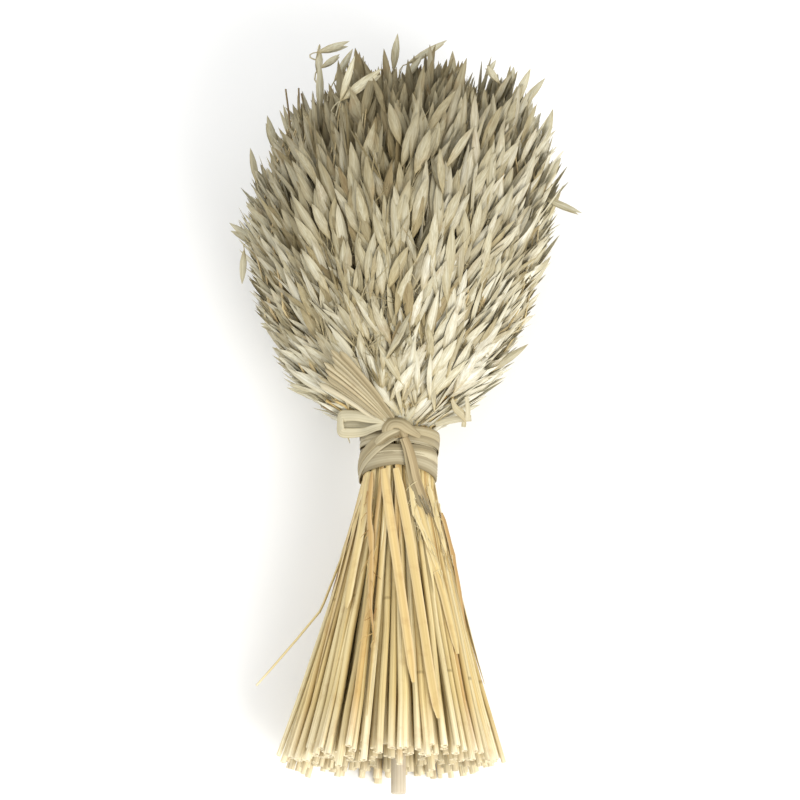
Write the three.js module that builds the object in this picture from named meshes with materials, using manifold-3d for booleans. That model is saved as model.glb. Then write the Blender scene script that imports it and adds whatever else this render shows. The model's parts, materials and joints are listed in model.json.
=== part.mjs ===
// A sheaf of dried oat stalks tied at the waist, lying on its side.
//
// Sizes are in millimetres. The sheaf is modelled about its own axis, which runs along +Y from the
// cut ends to the tips of the ears with the middle of the tie at Y = 0, +X to the right and +Z
// towards the side that faces up. The whole sheaf is then tipped so that the head and the cut ends
// both rest on the plane Z = 0.
//
// Every stalk follows one flow: a place in the sheaf is a share of the way out from the axis, an
// azimuth about it and a station along it, and the outline says how far out a share of 1 is.
import * as THREE from "three";
import { mergeVertices } from "three/addons/utils/BufferGeometryUtils.js";
import Module from "manifold-3d";

const wasm = await Module();
wasm.setup();
const { degToRad, lerp, clamp, smoothstep, seededRandom } = THREE.MathUtils;

// ---- Driving dimensions ----

const TOTAL_LENGTH = 435.6; // from the end of the stick to the highest ear tip
const TIE_LENGTH = 28; // the waist that the tie covers
const STRAW_LENGTH = 160; // from the tie's lower edge to the cut ends
const STICK_PROUD = 18; // how far the stick stands out past the cut ends
const STICK_RADIUS = 4.1;
const STICK_ABOVE_TIE = 30; // how far the stick runs on into the ears
const WAIST_RADIUS = 20; // the stalks under the tie

// Half widths of the head at its widest, and of the fan of straws at the cut ends.
const HEAD = { right: 92, left: 90, depth: 85 };
const BASE = { right: 56, left: 65, depth: 58 };
// The head swells from the tie as a power curve and closes over the top as another one.
const HEAD_SWELL = 0.5;
const HEAD_CLOSING = { right: 0.3, left: 0.52, depth: 0.4 };
const SPUR_RADIUS = 2.8; // a single oat spikelet
const TIPS_PROUD = 7; // how far the highest spikelet stands over the ears

const HEAD_FLATTENED = 8; // how much the head's own weight presses it in where it lies
const BASE_FLATTENED = 6;

// Rings of stalks from the stick outwards. A node is three stalks pressed into one by the tie.
const RINGS = [
  { name: "inner_stalks", count: 8, tipShare: 0.985 },
  { name: "middle_stalks", count: 16, tipShare: 0.94 },
  { name: "outer_stalks", count: 24, tipShare: 0.87 },
];
const STRAW_RADIUS = 1.6;
const CUT_VARIES = 4; // how unevenly the straws are cut
const STRAW_SIDES = 6;
const EAR_SIDES = 8;
const CELL_FILL = 0.92; // share of its cell that a stalk takes, which leaves the gap between nodes
const CORE_SHARE = 0.05; // how near to the axis the innermost ears reach

const BAND_THICKNESS = 1.3;
const WRAP_THICKNESS = 1.2;
const LEAF_THICKNESS = 1;
const LEAF_WIDTH = 4.5;
const CLEARANCE = 0.5; // between pieces of the tie, and between the tie and the stalks

// ---- Places worked out from them ----

const TIE_HALF = TIE_LENGTH / 2;
const CUT_STATION = -TIE_HALF - STRAW_LENGTH;
const STICK_END = CUT_STATION - STICK_PROUD;
const HEAD_TOP = STICK_END + TOTAL_LENGTH - TIPS_PROUD;
const HEAD_LENGTH = HEAD_TOP - TIE_HALF;
const STICK_TOP = TIE_HALF + STICK_ABOVE_TIE;
const WIDEST_STATION = TIE_HALF + 0.55 * HEAD_LENGTH;
const RING_DEPTH = (WAIST_RADIUS - STICK_RADIUS - CLEARANCE) / RINGS.length;

// The floor, seen in the sheaf's own frame: it touches the pressed-in head and cut ends.
const FLOOR_AT_CUT = -(BASE.depth - BASE_FLATTENED);
const FLOOR_AT_WIDEST = -(HEAD.depth - HEAD_FLATTENED);
const FLOOR_SLOPE = (FLOOR_AT_WIDEST - FLOOR_AT_CUT) / (WIDEST_STATION - CUT_STATION);
const TIP_ANGLE = Math.atan(-FLOOR_SLOPE);
const floorAt = (station) => FLOOR_AT_CUT + FLOOR_SLOPE * (station - CUT_STATION);

// ---- The flow ----

/** Half width of the head on one side, at a share of its length: 1 at the widest place. */
function crown(share, closing) {
  const widest = HEAD_SWELL / (HEAD_SWELL + closing);
  const t = clamp(share, 0, 1);
  return (t / widest) ** HEAD_SWELL * ((1 - t) / (1 - widest)) ** closing;
}

/** Half width of the sheaf at a station, on the side "right", "left" or "depth". */
function halfWidth(station, side) {
  if (station < -TIE_HALF) {
    return lerp(WAIST_RADIUS, BASE[side], (station + TIE_HALF) / (CUT_STATION + TIE_HALF));
  }
  const head = HEAD[side] * crown((station - TIE_HALF) / HEAD_LENGTH, HEAD_CLOSING[side]);
  const shoulder = station > WIDEST_STATION ? 0 : WAIST_RADIUS;
  return station < TIE_HALF ? WAIST_RADIUS : Math.max(shoulder, head);
}

/** The point at a share of the way out, an azimuth from +X towards +Z, and a station. */
function place(share, azimuth, station, lift = 0) {
  const side = halfWidth(station, Math.cos(azimuth) > 0 ? "right" : "left");
  const depth = halfWidth(station, "depth");
  const edge = 1 / Math.hypot(Math.cos(azimuth) / side, Math.sin(azimuth) / depth);
  const radius = share * edge;
  const height = Math.max(radius * Math.sin(azimuth), floorAt(station) + lift);
  return new THREE.Vector3(radius * Math.cos(azimuth), station, height);
}

/** As place(), but a distance outside the stalks, for pieces that lie on them. */
function placeOver(distance, azimuth, station) {
  const surface = place(1, azimuth, station);
  return surface.add(new THREE.Vector3(Math.cos(azimuth), 0, Math.sin(azimuth)).setLength(distance));
}

/** A point laid on the side that faces up, at a place in plan and a distance over the stalks. */
function drape(x, station, lift) {
  const side = halfWidth(station, x > 0 ? "right" : "left");
  const depth = halfWidth(station, "depth");
  const rise = depth * Math.sqrt(Math.max(1 - (x / side) ** 2, 0.1));
  return new THREE.Vector3(x, station, rise + lift);
}

// ---- Solids ----

/** A geometry as a manifold-3d solid, turned right way out if its faces point in. */
function solidOf(geometry) {
  const bare = new THREE.BufferGeometry();
  bare.setAttribute("position", geometry.getAttribute("position"));
  if (geometry.index) bare.setIndex(geometry.index);
  const merged = mergeVertices(bare, 1e-3);
  const triVerts = new Uint32Array(merged.index.array);
  const vertProperties = merged.attributes.position.array;
  const solid = new wasm.Manifold(new wasm.Mesh({ numProp: 3, vertProperties, triVerts }));
  if (solid.volume() > 0) return solid;
  triVerts.reverse();
  return new wasm.Manifold(new wasm.Mesh({ numProp: 3, vertProperties, triVerts }));
}

/** A manifold-3d solid as a three.js geometry. */
function geometryOf(solid) {
  const { vertProperties, triVerts } = solid.getMesh();
  const geometry = new THREE.BufferGeometry();
  geometry.setAttribute("position", new THREE.BufferAttribute(vertProperties, 3));
  geometry.setIndex(new THREE.BufferAttribute(triVerts, 1));
  geometry.computeVertexNormals();
  return geometry;
}

/** A closed loft through rings of points. It ends in flat caps, or in a point where one is given. */
function loft(rings, tip) {
  const sides = rings[0].length;
  const points = [...rings.flat(), ...(tip ? [tip] : [])];
  const faces = [];
  for (let ring = 0; ring + 1 < rings.length; ring++) {
    for (let i = 0; i < sides; i++) {
      const a = ring * sides + i;
      const b = ring * sides + ((i + 1) % sides);
      faces.push(a, b, b + sides, a, b + sides, a + sides);
    }
  }
  const last = (rings.length - 1) * sides;
  for (let i = 1; i + 1 < sides; i++) faces.push(0, i + 1, i);
  if (tip) {
    for (let i = 0; i < sides; i++) faces.push(last + i, last + ((i + 1) % sides), points.length - 1);
  } else {
    for (let i = 1; i + 1 < sides; i++) faces.push(last, last + i, last + i + 1);
  }
  const geometry = new THREE.BufferGeometry().setFromPoints(points);
  geometry.setIndex(faces);
  return geometry;
}

/** A straight round rod between two points, wider at its start than at its end. */
function rod(start, end, startRadius, endRadius, sides) {
  const along = end.clone().sub(start);
  const geometry = new THREE.CylinderGeometry(endRadius, startRadius, along.length(), sides);
  const turn = new THREE.Quaternion().setFromUnitVectors(
    new THREE.Vector3(0, 1, 0),
    along.clone().normalize(),
  );
  geometry.applyQuaternion(turn);
  return geometry.translate(...start.clone().lerp(end, 0.5).toArray());
}

/** A flat strip along a list of points, each with its width, and lying flat on the side "outward". */
function strip(points, widths, thickness, outward) {
  const rings = points.map((point, i) => {
    const before = points[Math.max(i - 1, 0)];
    const after = points[Math.min(i + 1, points.length - 1)];
    const along = after.clone().sub(before).normalize();
    const up = outward(point).normalize();
    const across = along.clone().cross(up).setLength(widths[i] / 2);
    const rise = across.clone().cross(along).setLength(thickness / 2);
    return [
      point.clone().sub(across).sub(rise),
      point.clone().add(across).sub(rise),
      point.clone().add(across).add(rise),
      point.clone().sub(across).add(rise),
    ];
  });
  return loft(rings);
}

/** The way out from the sheaf's axis at a point. */
const awayFromAxis = (point) => new THREE.Vector3(point.x, 0, point.z);

// ---- Materials ----

const finish = (color, roughness) => new THREE.MeshStandardMaterial({ color, roughness, metalness: 0 });
const FINISHES = {
  stalk: finish(0xd8cfa8, 0.8),
  stick: finish(0xdcc7a0, 0.75),
  tie: finish(0xbfae86, 0.85),
  leaf: finish(0xcfc6a0, 0.85),
};

/** A named mesh, with its place in the sheaf's frame in its geometry. */
function piece(name, geometry, material) {
  const mesh = new THREE.Mesh(geometry, material);
  mesh.name = name;
  return mesh;
}

// ---- Stalks ----

/** The cell of the flow that one node of stalks keeps to. */
function cellOf(ringIndex, index) {
  const { count, tipShare } = RINGS[ringIndex];
  const middle = STICK_RADIUS + CLEARANCE + RING_DEPTH * (ringIndex + 0.5);
  return {
    share: middle / WAIST_RADIUS,
    azimuth: ((index + 0.5 * (ringIndex % 2)) / count) * 2 * Math.PI,
    halfShare: (CELL_FILL * RING_DEPTH) / 2 / WAIST_RADIUS,
    halfAzimuth: (CELL_FILL * Math.PI) / count,
    tip: TIE_HALF + HEAD_LENGTH * (tipShare + 0.02 * (seededRandom() - 0.5)),
    reachesIn: ringIndex === 0,
  };
}

/** How much further in a cell's ears reach at a station, where the innermost close over the stick. */
function reachOf(cell, station) {
  if (!cell.reachesIn) return 0;
  const open = cell.share - cell.halfShare - CORE_SHARE;
  return open * smoothstep(station, STICK_TOP, STICK_TOP + STICK_ABOVE_TIE);
}

/** The ears of a cell's stalks, joined with the waist that the tie presses them into. */
function earsOf(cell) {
  const waist = [-TIE_HALF, TIE_HALF];
  const swells = [0.04, 0.1, 0.22, 0.4, 0.58, 0.76, 0.9];
  const stations = [...waist, ...swells.map((s) => lerp(TIE_HALF, cell.tip, s))];
  const rings = stations.map((station, ring) => {
    const closing = ring < stations.length - 1 ? 1 : 0.72;
    const reach = reachOf(cell, station) / 2;
    return Array.from({ length: EAR_SIDES }, (_, i) => {
      const angle = ((i + 0.5) / EAR_SIDES) * 2 * Math.PI;
      const share = cell.share - reach + (cell.halfShare + reach) * closing * Math.cos(angle);
      const azimuth = cell.azimuth - cell.halfAzimuth * closing * Math.sin(angle);
      return place(share, azimuth, station);
    });
  });
  return solidOf(loft(rings, place(cell.share, cell.azimuth, cell.tip)));
}

/** One straw, from its cut end to where it is pressed in among its neighbours under the tie. */
function strawOf(cell, outward, around) {
  const varied = (spread) => spread * (seededRandom() - 0.5);
  const radius = STRAW_RADIUS * (1 + varied(0.3));
  const waistRadius = 0.4 * cell.halfShare * WAIST_RADIUS;
  const cut = CUT_STATION + varied(CUT_VARIES);
  const low = place(
    cell.share + cell.halfShare * (outward + varied(0.2)),
    cell.azimuth + cell.halfAzimuth * (around + varied(0.2)),
    cut,
    radius,
  );
  const high = place(
    cell.share + 0.5 * cell.halfShare * outward,
    cell.azimuth + 0.5 * cell.halfAzimuth * around,
    -TIE_HALF + CLEARANCE,
  );
  return solidOf(rod(low, high, radius, waistRadius, STRAW_SIDES));
}

/** A spikelet that stands out from the middle of an ear, a distance below its tip. */
function spurOf(cell, below, tip) {
  const root = place(cell.share, cell.azimuth, cell.tip - below);
  return solidOf(rod(root, tip, SPUR_RADIUS, 0.3, STRAW_SIDES));
}

/** Where each straw of three sits in its cell, as shares of the cell's half widths. */
const THREE_STRAWS = [
  [-0.5, 0],
  [0.45, -0.55],
  [0.45, 0.55],
];

/** The nodes whose ears carry a spikelet that stands proud, and where each one's tip is. */
const SPURS = {
  outer_stalks_13: { below: 0.44 * HEAD_LENGTH, tip: new THREE.Vector3(-98, WIDEST_STATION - 3, 4) },
  outer_stalks_01: { below: 0.4 * HEAD_LENGTH, tip: new THREE.Vector3(101, WIDEST_STATION + 8, 6) },
  inner_stalks_03: { below: 20, tip: new THREE.Vector3(-3, HEAD_TOP + TIPS_PROUD, 24) },
};

/** All the stalks of one ring. */
function stalksOfRing(ringIndex) {
  const { name, count } = RINGS[ringIndex];
  return Array.from({ length: count }, (_, index) => {
    const node = `${name}_${String(index + 1).padStart(2, "0")}`;
    const cell = cellOf(ringIndex, index);
    let solid = earsOf(cell);
    for (const [outward, around] of THREE_STRAWS) solid = solid.add(strawOf(cell, outward, around));
    if (SPURS[node]) solid = solid.add(spurOf(cell, SPURS[node].below, SPURS[node].tip));
    return piece(node, geometryOf(solid), FINISHES.stalk);
  });
}

/** A thin straw that lies outside the fan and is kinked away from it half way down. */
function strayStraw() {
  const azimuth = degToRad(176);
  const radius = 0.7;
  const kink = placeOver(CLEARANCE + 3 * radius, azimuth, lerp(-TIE_HALF, CUT_STATION, 0.46));
  const top = placeOver(CLEARANCE + 3 * radius, azimuth, -TIE_HALF - 2 * radius);
  const end = kink.clone().add(new THREE.Vector3(-37, -45, 6));
  const upper = solidOf(rod(kink, top, radius, radius, STRAW_SIDES));
  const lower = solidOf(rod(end, kink, 0.6 * radius, radius, STRAW_SIDES));
  const joint = solidOf(new THREE.SphereGeometry(1.2 * radius, 6, 4).translate(...kink.toArray()));
  return piece("stray_straw", geometryOf(upper.add(lower).add(joint)), FINISHES.stalk);
}

// ---- Stick and tie ----

/** The stick in the middle of the sheaf, which the stalks are bound around. */
function centreStick() {
  const length = STICK_TOP - STICK_END;
  const geometry = new THREE.CylinderGeometry(STICK_RADIUS, STICK_RADIUS, length, 12);
  const mesh = piece("centre_stick", geometry, FINISHES.stick);
  mesh.position.y = (STICK_TOP + STICK_END) / 2;
  return mesh;
}

/** A flat band of twisted leaf that goes round the waist between two stations. */
function band(name, from, to) {
  const inside = WAIST_RADIUS + CLEARANCE;
  const outside = inside + BAND_THICKNESS;
  const edge = inside + 0.6 * BAND_THICKNESS;
  const profile = [
    [inside, from + 0.3],
    [edge, from],
    [outside, lerp(from, to, 0.3)],
    [outside, lerp(from, to, 0.7)],
    [edge, to],
    [inside, to - 0.3],
    [inside, from + 0.3],
  ].map(([radius, station]) => new THREE.Vector2(radius, station));
  return piece(name, geometryOf(solidOf(new THREE.LatheGeometry(profile, 28))), FINISHES.tie);
}

const BAND_SPLIT = -1; // the station between the lower band and the upper band
const WRAP_RADIUS = WAIST_RADIUS + 2 * CLEARANCE + BAND_THICKNESS + WRAP_THICKNESS / 2;
const KNOT = { azimuth: degToRad(90), station: 9, halfWidth: 6.5, halfLength: 5, halfHeight: 3 };
const KNOT_BASE = WRAP_RADIUS + WRAP_THICKNESS / 2 + CLEARANCE;
const OVER_TIE = KNOT_BASE - WAIST_RADIUS + LEAF_THICKNESS / 2;

/** The strip over both bands: from the knot down to the left, round the back and up to the knot. */
function overWrap() {
  const steps = 26;
  const from = degToRad(96);
  const to = degToRad(96 + 346);
  const rings = Array.from({ length: steps + 1 }, (_, step) => {
    const t = step / steps;
    const azimuth = lerp(from, to, t);
    const dip = Math.sin(Math.PI * Math.sqrt(t));
    const middle = lerp(KNOT.station - 3, KNOT.station - 5, t) - 13 * dip;
    const halfWide = lerp(3.5, 6.5, t);
    const corners = [
      [-1, -halfWide],
      [1, -halfWide],
      [1, halfWide],
      [-1, halfWide],
    ];
    return corners.map(([out, along]) => {
      const radius = WRAP_RADIUS + (out * WRAP_THICKNESS) / 2;
      const station = clamp(middle + along, -TIE_HALF, TIE_HALF);
      return new THREE.Vector3(radius * Math.cos(azimuth), station, radius * Math.sin(azimuth));
    });
  });
  return piece("tie_over_wrap", geometryOf(solidOf(loft(rings))), FINISHES.tie);
}

/** The knot, a low lump on the wrap. */
function knot() {
  const geometry = new THREE.SphereGeometry(1, 12, 8);
  geometry.scale(KNOT.halfWidth, KNOT.halfLength, KNOT.halfHeight);
  const mesh = piece("tie_knot", geometry, FINISHES.tie);
  const radius = KNOT_BASE + KNOT.halfHeight;
  mesh.rotation.y = Math.PI / 2 - KNOT.azimuth;
  mesh.position.set(radius * Math.cos(KNOT.azimuth), KNOT.station, radius * Math.sin(KNOT.azimuth));
  return mesh;
}

/** The short end of the tie, which hangs from the knot down over the straws. */
function tieTail() {
  const from = { azimuth: degToRad(86), station: KNOT.station - KNOT.halfLength - CLEARANCE };
  const to = { azimuth: degToRad(49), station: -34 };
  const points = [0, 0.25, 0.5, 0.75, 1].map((t) => {
    const azimuth = lerp(from.azimuth, to.azimuth, t);
    const over = lerp(OVER_TIE + CLEARANCE, 2 * CLEARANCE + LEAF_THICKNESS, t);
    return placeOver(over, azimuth, lerp(from.station, to.station, t));
  });
  const widths = [4, 5, 5.5, 5.5, 4.5];
  const geometry = strip(points, widths, LEAF_THICKNESS, awayFromAxis);
  return piece("tie_tail", geometryOf(solidOf(geometry)), FINISHES.tie);
}

/** The long end of the tie: a pleated leaf that opens like a fan over the head's lower left. */
function tieFan() {
  const pleats = 8;
  const start = new THREE.Vector2(-0.2 * WAIST_RADIUS, TIE_HALF + 3);
  const end = new THREE.Vector2(-1.7 * WAIST_RADIUS, TIE_HALF + 31);
  const across = new THREE.Vector2(end.y - start.y, start.x - end.x).normalize();
  const rings = [0, 0.15, 0.3, 0.5, 0.7, 0.85, 1].map((t) => {
    const half = lerp(2, 14, t);
    const fold = lerp(0.2, 0.7, t);
    const ridges = Array.from({ length: pleats + 1 }, (_, i) => {
      const plan = start.clone().lerp(end, t).addScaledVector(across, lerp(-half, half, i / pleats));
      const over = lerp(OVER_TIE, 7 * CLEARANCE + LEAF_THICKNESS, Math.min(3 * t, 1));
      return drape(plan.x, plan.y, over + (i % 2 ? fold : -fold));
    });
    const lower = ridges.map((ridge) => ridge.clone().setZ(ridge.z - LEAF_THICKNESS / 2));
    const upper = ridges.map((ridge) => ridge.clone().setZ(ridge.z + LEAF_THICKNESS / 2));
    return [...lower, ...upper.reverse()];
  });
  return piece("tie_fan", geometryOf(solidOf(pleatedLoft(rings, pleats))), FINISHES.tie);
}

/** A loft whose end caps are strips of quads, because a pleated section isn't convex. */
function pleatedLoft(rings, pleats) {
  const geometry = loft(rings);
  const sides = rings[0].length;
  const last = (rings.length - 1) * sides;
  const capFaces = 2 * 3 * (sides - 2);
  const walls = Array.from(geometry.index.array).slice(0, -capFaces);
  const caps = [];
  for (let i = 0; i < pleats; i++) {
    const [a, b, c, d] = [i, i + 1, sides - 2 - i, sides - 1 - i];
    caps.push(a, c, b, a, d, c);
    caps.push(last + a, last + b, last + c, last + a, last + c, last + d);
  }
  geometry.setIndex([...walls, ...caps]);
  return geometry;
}

/**
 * A dry leaf folded flat at the head's lower edge. Its path is a list of places, each as waist radii
 * to the right, the distance above the tie's upper edge, and the lift over the stalks.
 */
function foldedLeaf(name, path) {
  const points = path.map(([across, above, lift]) => drape(across * WAIST_RADIUS, TIE_HALF + above, lift));
  const facingUp = () => new THREE.Vector3(0, 0, 1);
  const widths = points.map(() => LEAF_WIDTH);
  const geometry = strip(points, widths, LEAF_THICKNESS, facingUp);
  return piece(name, geometryOf(solidOf(geometry)), FINISHES.leaf);
}

/** Runs out to the left, is folded over, and comes back over the upper edge of the tie. */
const LEFT_LEAF_PATH = [
  [-0.9, 3.5, 11.5],
  [-1.25, 3.5, 12],
  [-1.5, 3.3, 10],
  [-1.7, 0.5, 4],
  [-1.55, -3, 2],
  [-1.1, -3.5, 8],
  [-0.55, -3.5, 6.5],
];

/** Runs out to the right, and is folded up against the ears. */
const RIGHT_LEAF_PATH = [
  [1.35, 2.8, 1],
  [1.75, 2.8, 2],
  [1.98, 6.3, 3],
  [1.95, 18, 7],
];

// ---- The sheaf ----

seededRandom(11);
const sheaf = new THREE.Group();
sheaf.add(
  centreStick(),
  ...RINGS.flatMap((_, ringIndex) => stalksOfRing(ringIndex)),
  strayStraw(),
  band("tie_lower_band", -TIE_HALF + CLEARANCE, BAND_SPLIT - CLEARANCE / 2),
  band("tie_upper_band", BAND_SPLIT + CLEARANCE / 2, TIE_HALF - CLEARANCE),
  overWrap(),
  knot(),
  tieTail(),
  tieFan(),
  foldedLeaf("leaf_fold_left", LEFT_LEAF_PATH),
  foldedLeaf("leaf_fold_right", RIGHT_LEAF_PATH),
);

// Tipped on to the floor, and moved so that the origin is at the middle of its footprint.
sheaf.rotation.x = TIP_ANGLE;
const object = new THREE.Group();
object.add(sheaf);
object.updateMatrixWorld(true);
const box = new THREE.Box3().setFromObject(object, true);
sheaf.position.set(-(box.min.x + box.max.x) / 2, -(box.min.y + box.max.y) / 2, -box.min.z);

export default object;
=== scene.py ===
"""The looks of a sheaf of dried oats that lies on its side, tied at its waist with strips of leaf.

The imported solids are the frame: every stalk, the stick and the tie are placed by them. Shapes are
made in millimetres in the sheaf's own frame, whose axis runs through the middle of the tie from the
cut ends towards the ears, and are turned into metres in the row's frame as they become pieces.
"""

from __future__ import annotations

import json
import logging
import math
from dataclasses import dataclass, field
from enum import Enum
from typing import Callable

import bmesh
import bpy
import numpy as np
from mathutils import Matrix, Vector

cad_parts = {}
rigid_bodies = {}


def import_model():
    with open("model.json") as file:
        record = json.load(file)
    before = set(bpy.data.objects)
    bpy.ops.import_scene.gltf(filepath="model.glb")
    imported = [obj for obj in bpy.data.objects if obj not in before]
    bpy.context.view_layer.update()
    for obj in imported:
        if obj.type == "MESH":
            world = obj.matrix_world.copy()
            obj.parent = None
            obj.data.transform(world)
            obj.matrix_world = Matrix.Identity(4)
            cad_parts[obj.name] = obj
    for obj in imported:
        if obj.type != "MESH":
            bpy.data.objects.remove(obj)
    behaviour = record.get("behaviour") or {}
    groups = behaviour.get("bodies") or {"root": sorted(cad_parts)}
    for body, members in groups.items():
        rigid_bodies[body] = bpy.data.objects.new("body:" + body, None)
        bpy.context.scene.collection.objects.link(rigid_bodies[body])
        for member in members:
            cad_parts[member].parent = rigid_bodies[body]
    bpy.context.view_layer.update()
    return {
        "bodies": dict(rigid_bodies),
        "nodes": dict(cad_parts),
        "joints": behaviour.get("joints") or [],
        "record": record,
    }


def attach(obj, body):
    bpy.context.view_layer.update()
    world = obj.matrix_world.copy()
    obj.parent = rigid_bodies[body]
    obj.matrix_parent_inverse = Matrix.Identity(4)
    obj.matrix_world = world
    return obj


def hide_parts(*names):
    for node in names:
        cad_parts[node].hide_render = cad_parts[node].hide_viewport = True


LOG = logging.getLogger("oat_sheaf")
MM = 0.001
SEED = 352
BODY = "root"
UP = np.array((0.0, 0.0, 1.0))


# ---------------------------------------------------------------------------------------------
# Frame and outline
# ---------------------------------------------------------------------------------------------


def mesh_points(obj: bpy.types.Object) -> np.ndarray:
    """The vertices of an object's mesh as an (n, 3) array, in metres."""
    points = np.empty(3 * len(obj.data.vertices))
    obj.data.vertices.foreach_get("co", points)
    return points.reshape(-1, 3)


def unit(vectors: np.ndarray) -> np.ndarray:
    """Vectors of length one along the last axis."""
    return vectors / np.maximum(np.linalg.norm(vectors, axis=-1, keepdims=True), 1e-9)


def outward(azimuth: float) -> np.ndarray:
    """The way out from the sheaf's axis at an azimuth in radians."""
    return np.array((math.cos(azimuth), 0.0, math.sin(azimuth)))


def taper(shares: tuple, sizes: tuple, scale: np.ndarray | float = 1.0) -> Callable:
    """A size that changes along a line.

    Args:
        shares: shares of the way along the line.
        sizes: the size at each of them.
        scale: what the sizes are multiplied by, one value or one per line.

    Returns:
        A function that gives the size at any shares of the way along.
    """
    return lambda along: scale * np.interp(along, shares, sizes)


def fasten(obj: bpy.types.Object, node: str) -> None:
    """Fixes a finished piece to the sheaf in place of its solid node.

    Args:
        obj: the piece.
        node: the name of the node that it stands for.
    """
    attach(obj, BODY)
    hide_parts(node)


@dataclass(frozen=True)
class SheafAxes:
    """The sheaf's own frame: x to the right, y along the stick to the ears, z out of the knot's side.

    Attributes:
        origin: the middle of the tie, in metres in the row's frame.
        turn: the frame's three directions as the rows of a matrix.
    """

    origin: np.ndarray
    turn: np.ndarray

    @classmethod
    def measure(cls, nodes: dict[str, bpy.types.Object]) -> SheafAxes:
        """Finds the frame from the solid stick and the solid tie.

        Args:
            nodes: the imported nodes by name.

        Returns:
            The sheaf's frame.
        """
        stick = mesh_points(nodes["centre_stick"])
        low, high = stick[:, 1].min(), stick[:, 1].max()
        foot = stick[stick[:, 1] < low + 2 * MM].mean(0)
        top = stick[stick[:, 1] > high - 2 * MM].mean(0)
        along = unit(top - foot)
        right = np.array((1.0, 0.0, 0.0))
        turn = np.stack((right, along, np.cross(right, along)))
        bands = [mesh_points(nodes[f"tie_{which}_band"]) for which in ("lower", "upper")]
        stations = (np.concatenate(bands) - foot) @ along
        return cls(foot + along * (stations.min() + stations.max()) / 2, turn)

    def out(self, points: np.ndarray) -> np.ndarray:
        """Points in the sheaf's frame, in millimetres, as metres in the row's frame."""
        return self.origin + MM * (np.asarray(points) @ self.turn)

    def into(self, points: np.ndarray) -> np.ndarray:
        """Points in the row's frame, in metres, as millimetres in the sheaf's frame."""
        return (np.asarray(points) - self.origin) @ self.turn.T / MM


@dataclass(frozen=True)
class Outline:
    """How far out the stalks reach, as the solid stalks do. Sizes are in millimetres.

    Attributes:
        tie_half: from the middle of the tie to its edge.
        waist: the radius of the stalks under the tie.
        cut: the station of the cut ends.
        head_length: from the tie's upper edge to the top of the ears.
        head: the half widths of the ears to the right, to the left and in depth.
        base: the half widths of the straws at the cut ends, in the same order.
        swell: the power that the ears widen with.
        closing: the powers that they close with over the top.
    """

    tie_half: float = 14.0
    waist: float = 20.0
    cut: float = -174.0
    head_length: float = 222.6
    head: tuple[float, float, float] = (92.0, 90.0, 85.0)
    base: tuple[float, float, float] = (56.0, 65.0, 58.0)
    swell: float = 0.5
    closing: tuple[float, float, float] = (0.3, 0.52, 0.4)

    def _half_width(self, station: np.ndarray, side: int) -> np.ndarray:
        """The half width at each station, on the right (0), on the left (1) or in depth (2)."""
        share = np.clip((station - self.tie_half) / self.head_length, 0, 1)
        closing = self.closing[side]
        widest = self.swell / (self.swell + closing)
        crown = (share / widest) ** self.swell * ((1 - share) / (1 - widest)) ** closing
        head = self.head[side] * crown
        head = np.where(share < 0.5, np.maximum(head, self.waist), head)
        fall = np.clip((station + self.tie_half) / (self.cut + self.tie_half), 0, None)
        fan = self.waist + (self.base[side] - self.waist) * fall
        return np.where(station > -self.tie_half, head, fan)

    def edge(self, azimuth: np.ndarray, station: np.ndarray) -> np.ndarray:
        """The distance from the axis to the outline at each azimuth and station."""
        across, rise = np.cos(azimuth), np.sin(azimuth)
        right, left = self._half_width(station, 0), self._half_width(station, 1)
        side = np.where(across > 0, right, left)
        return 1 / np.hypot(across / side, rise / self._half_width(station, 2))

    def place(self, share: np.ndarray, azimuth: np.ndarray, station: np.ndarray) -> np.ndarray:
        """Points at a share of the way out, an azimuth and a station, as an (..., 3) array."""
        share, azimuth, station = np.broadcast_arrays(share, azimuth, station)
        radius = share * self.edge(azimuth, station)
        return np.stack((radius * np.cos(azimuth), station, radius * np.sin(azimuth)), -1)

    def drape(self, path: list[tuple[float, float, float]]) -> np.ndarray:
        """Places in plan, laid a distance over the stalks' upper side."""
        x, station, lift = np.array(path, dtype=float).T
        side = np.where(x > 0, self._half_width(station, 0), self._half_width(station, 1))
        rise = self._half_width(station, 2) * np.sqrt(np.maximum(1 - (x / side) ** 2, 0.1))
        return np.stack((x, station, rise + lift), -1)


@dataclass(frozen=True)
class Rest:
    """The surface that the sheaf lies on, which presses in whatever would go through it.

    Attributes:
        lowest: how near to the surface anything comes, in metres.
        softness: how gently things are pressed in, in metres.
    """

    lowest: float = 0.0004
    softness: float = 0.0016

    def press(self, points: np.ndarray) -> np.ndarray:
        """Points in the row's frame with the low ones lifted gently off the surface."""
        height = (points[..., 2] - self.lowest) / self.softness
        lifted = np.where(height > 20, height, np.log1p(np.exp(np.minimum(height, 20))))
        pressed = points.copy()
        pressed[..., 2] = self.lowest + self.softness * lifted
        return pressed


# ---------------------------------------------------------------------------------------------
# Modelling
# ---------------------------------------------------------------------------------------------


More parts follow.
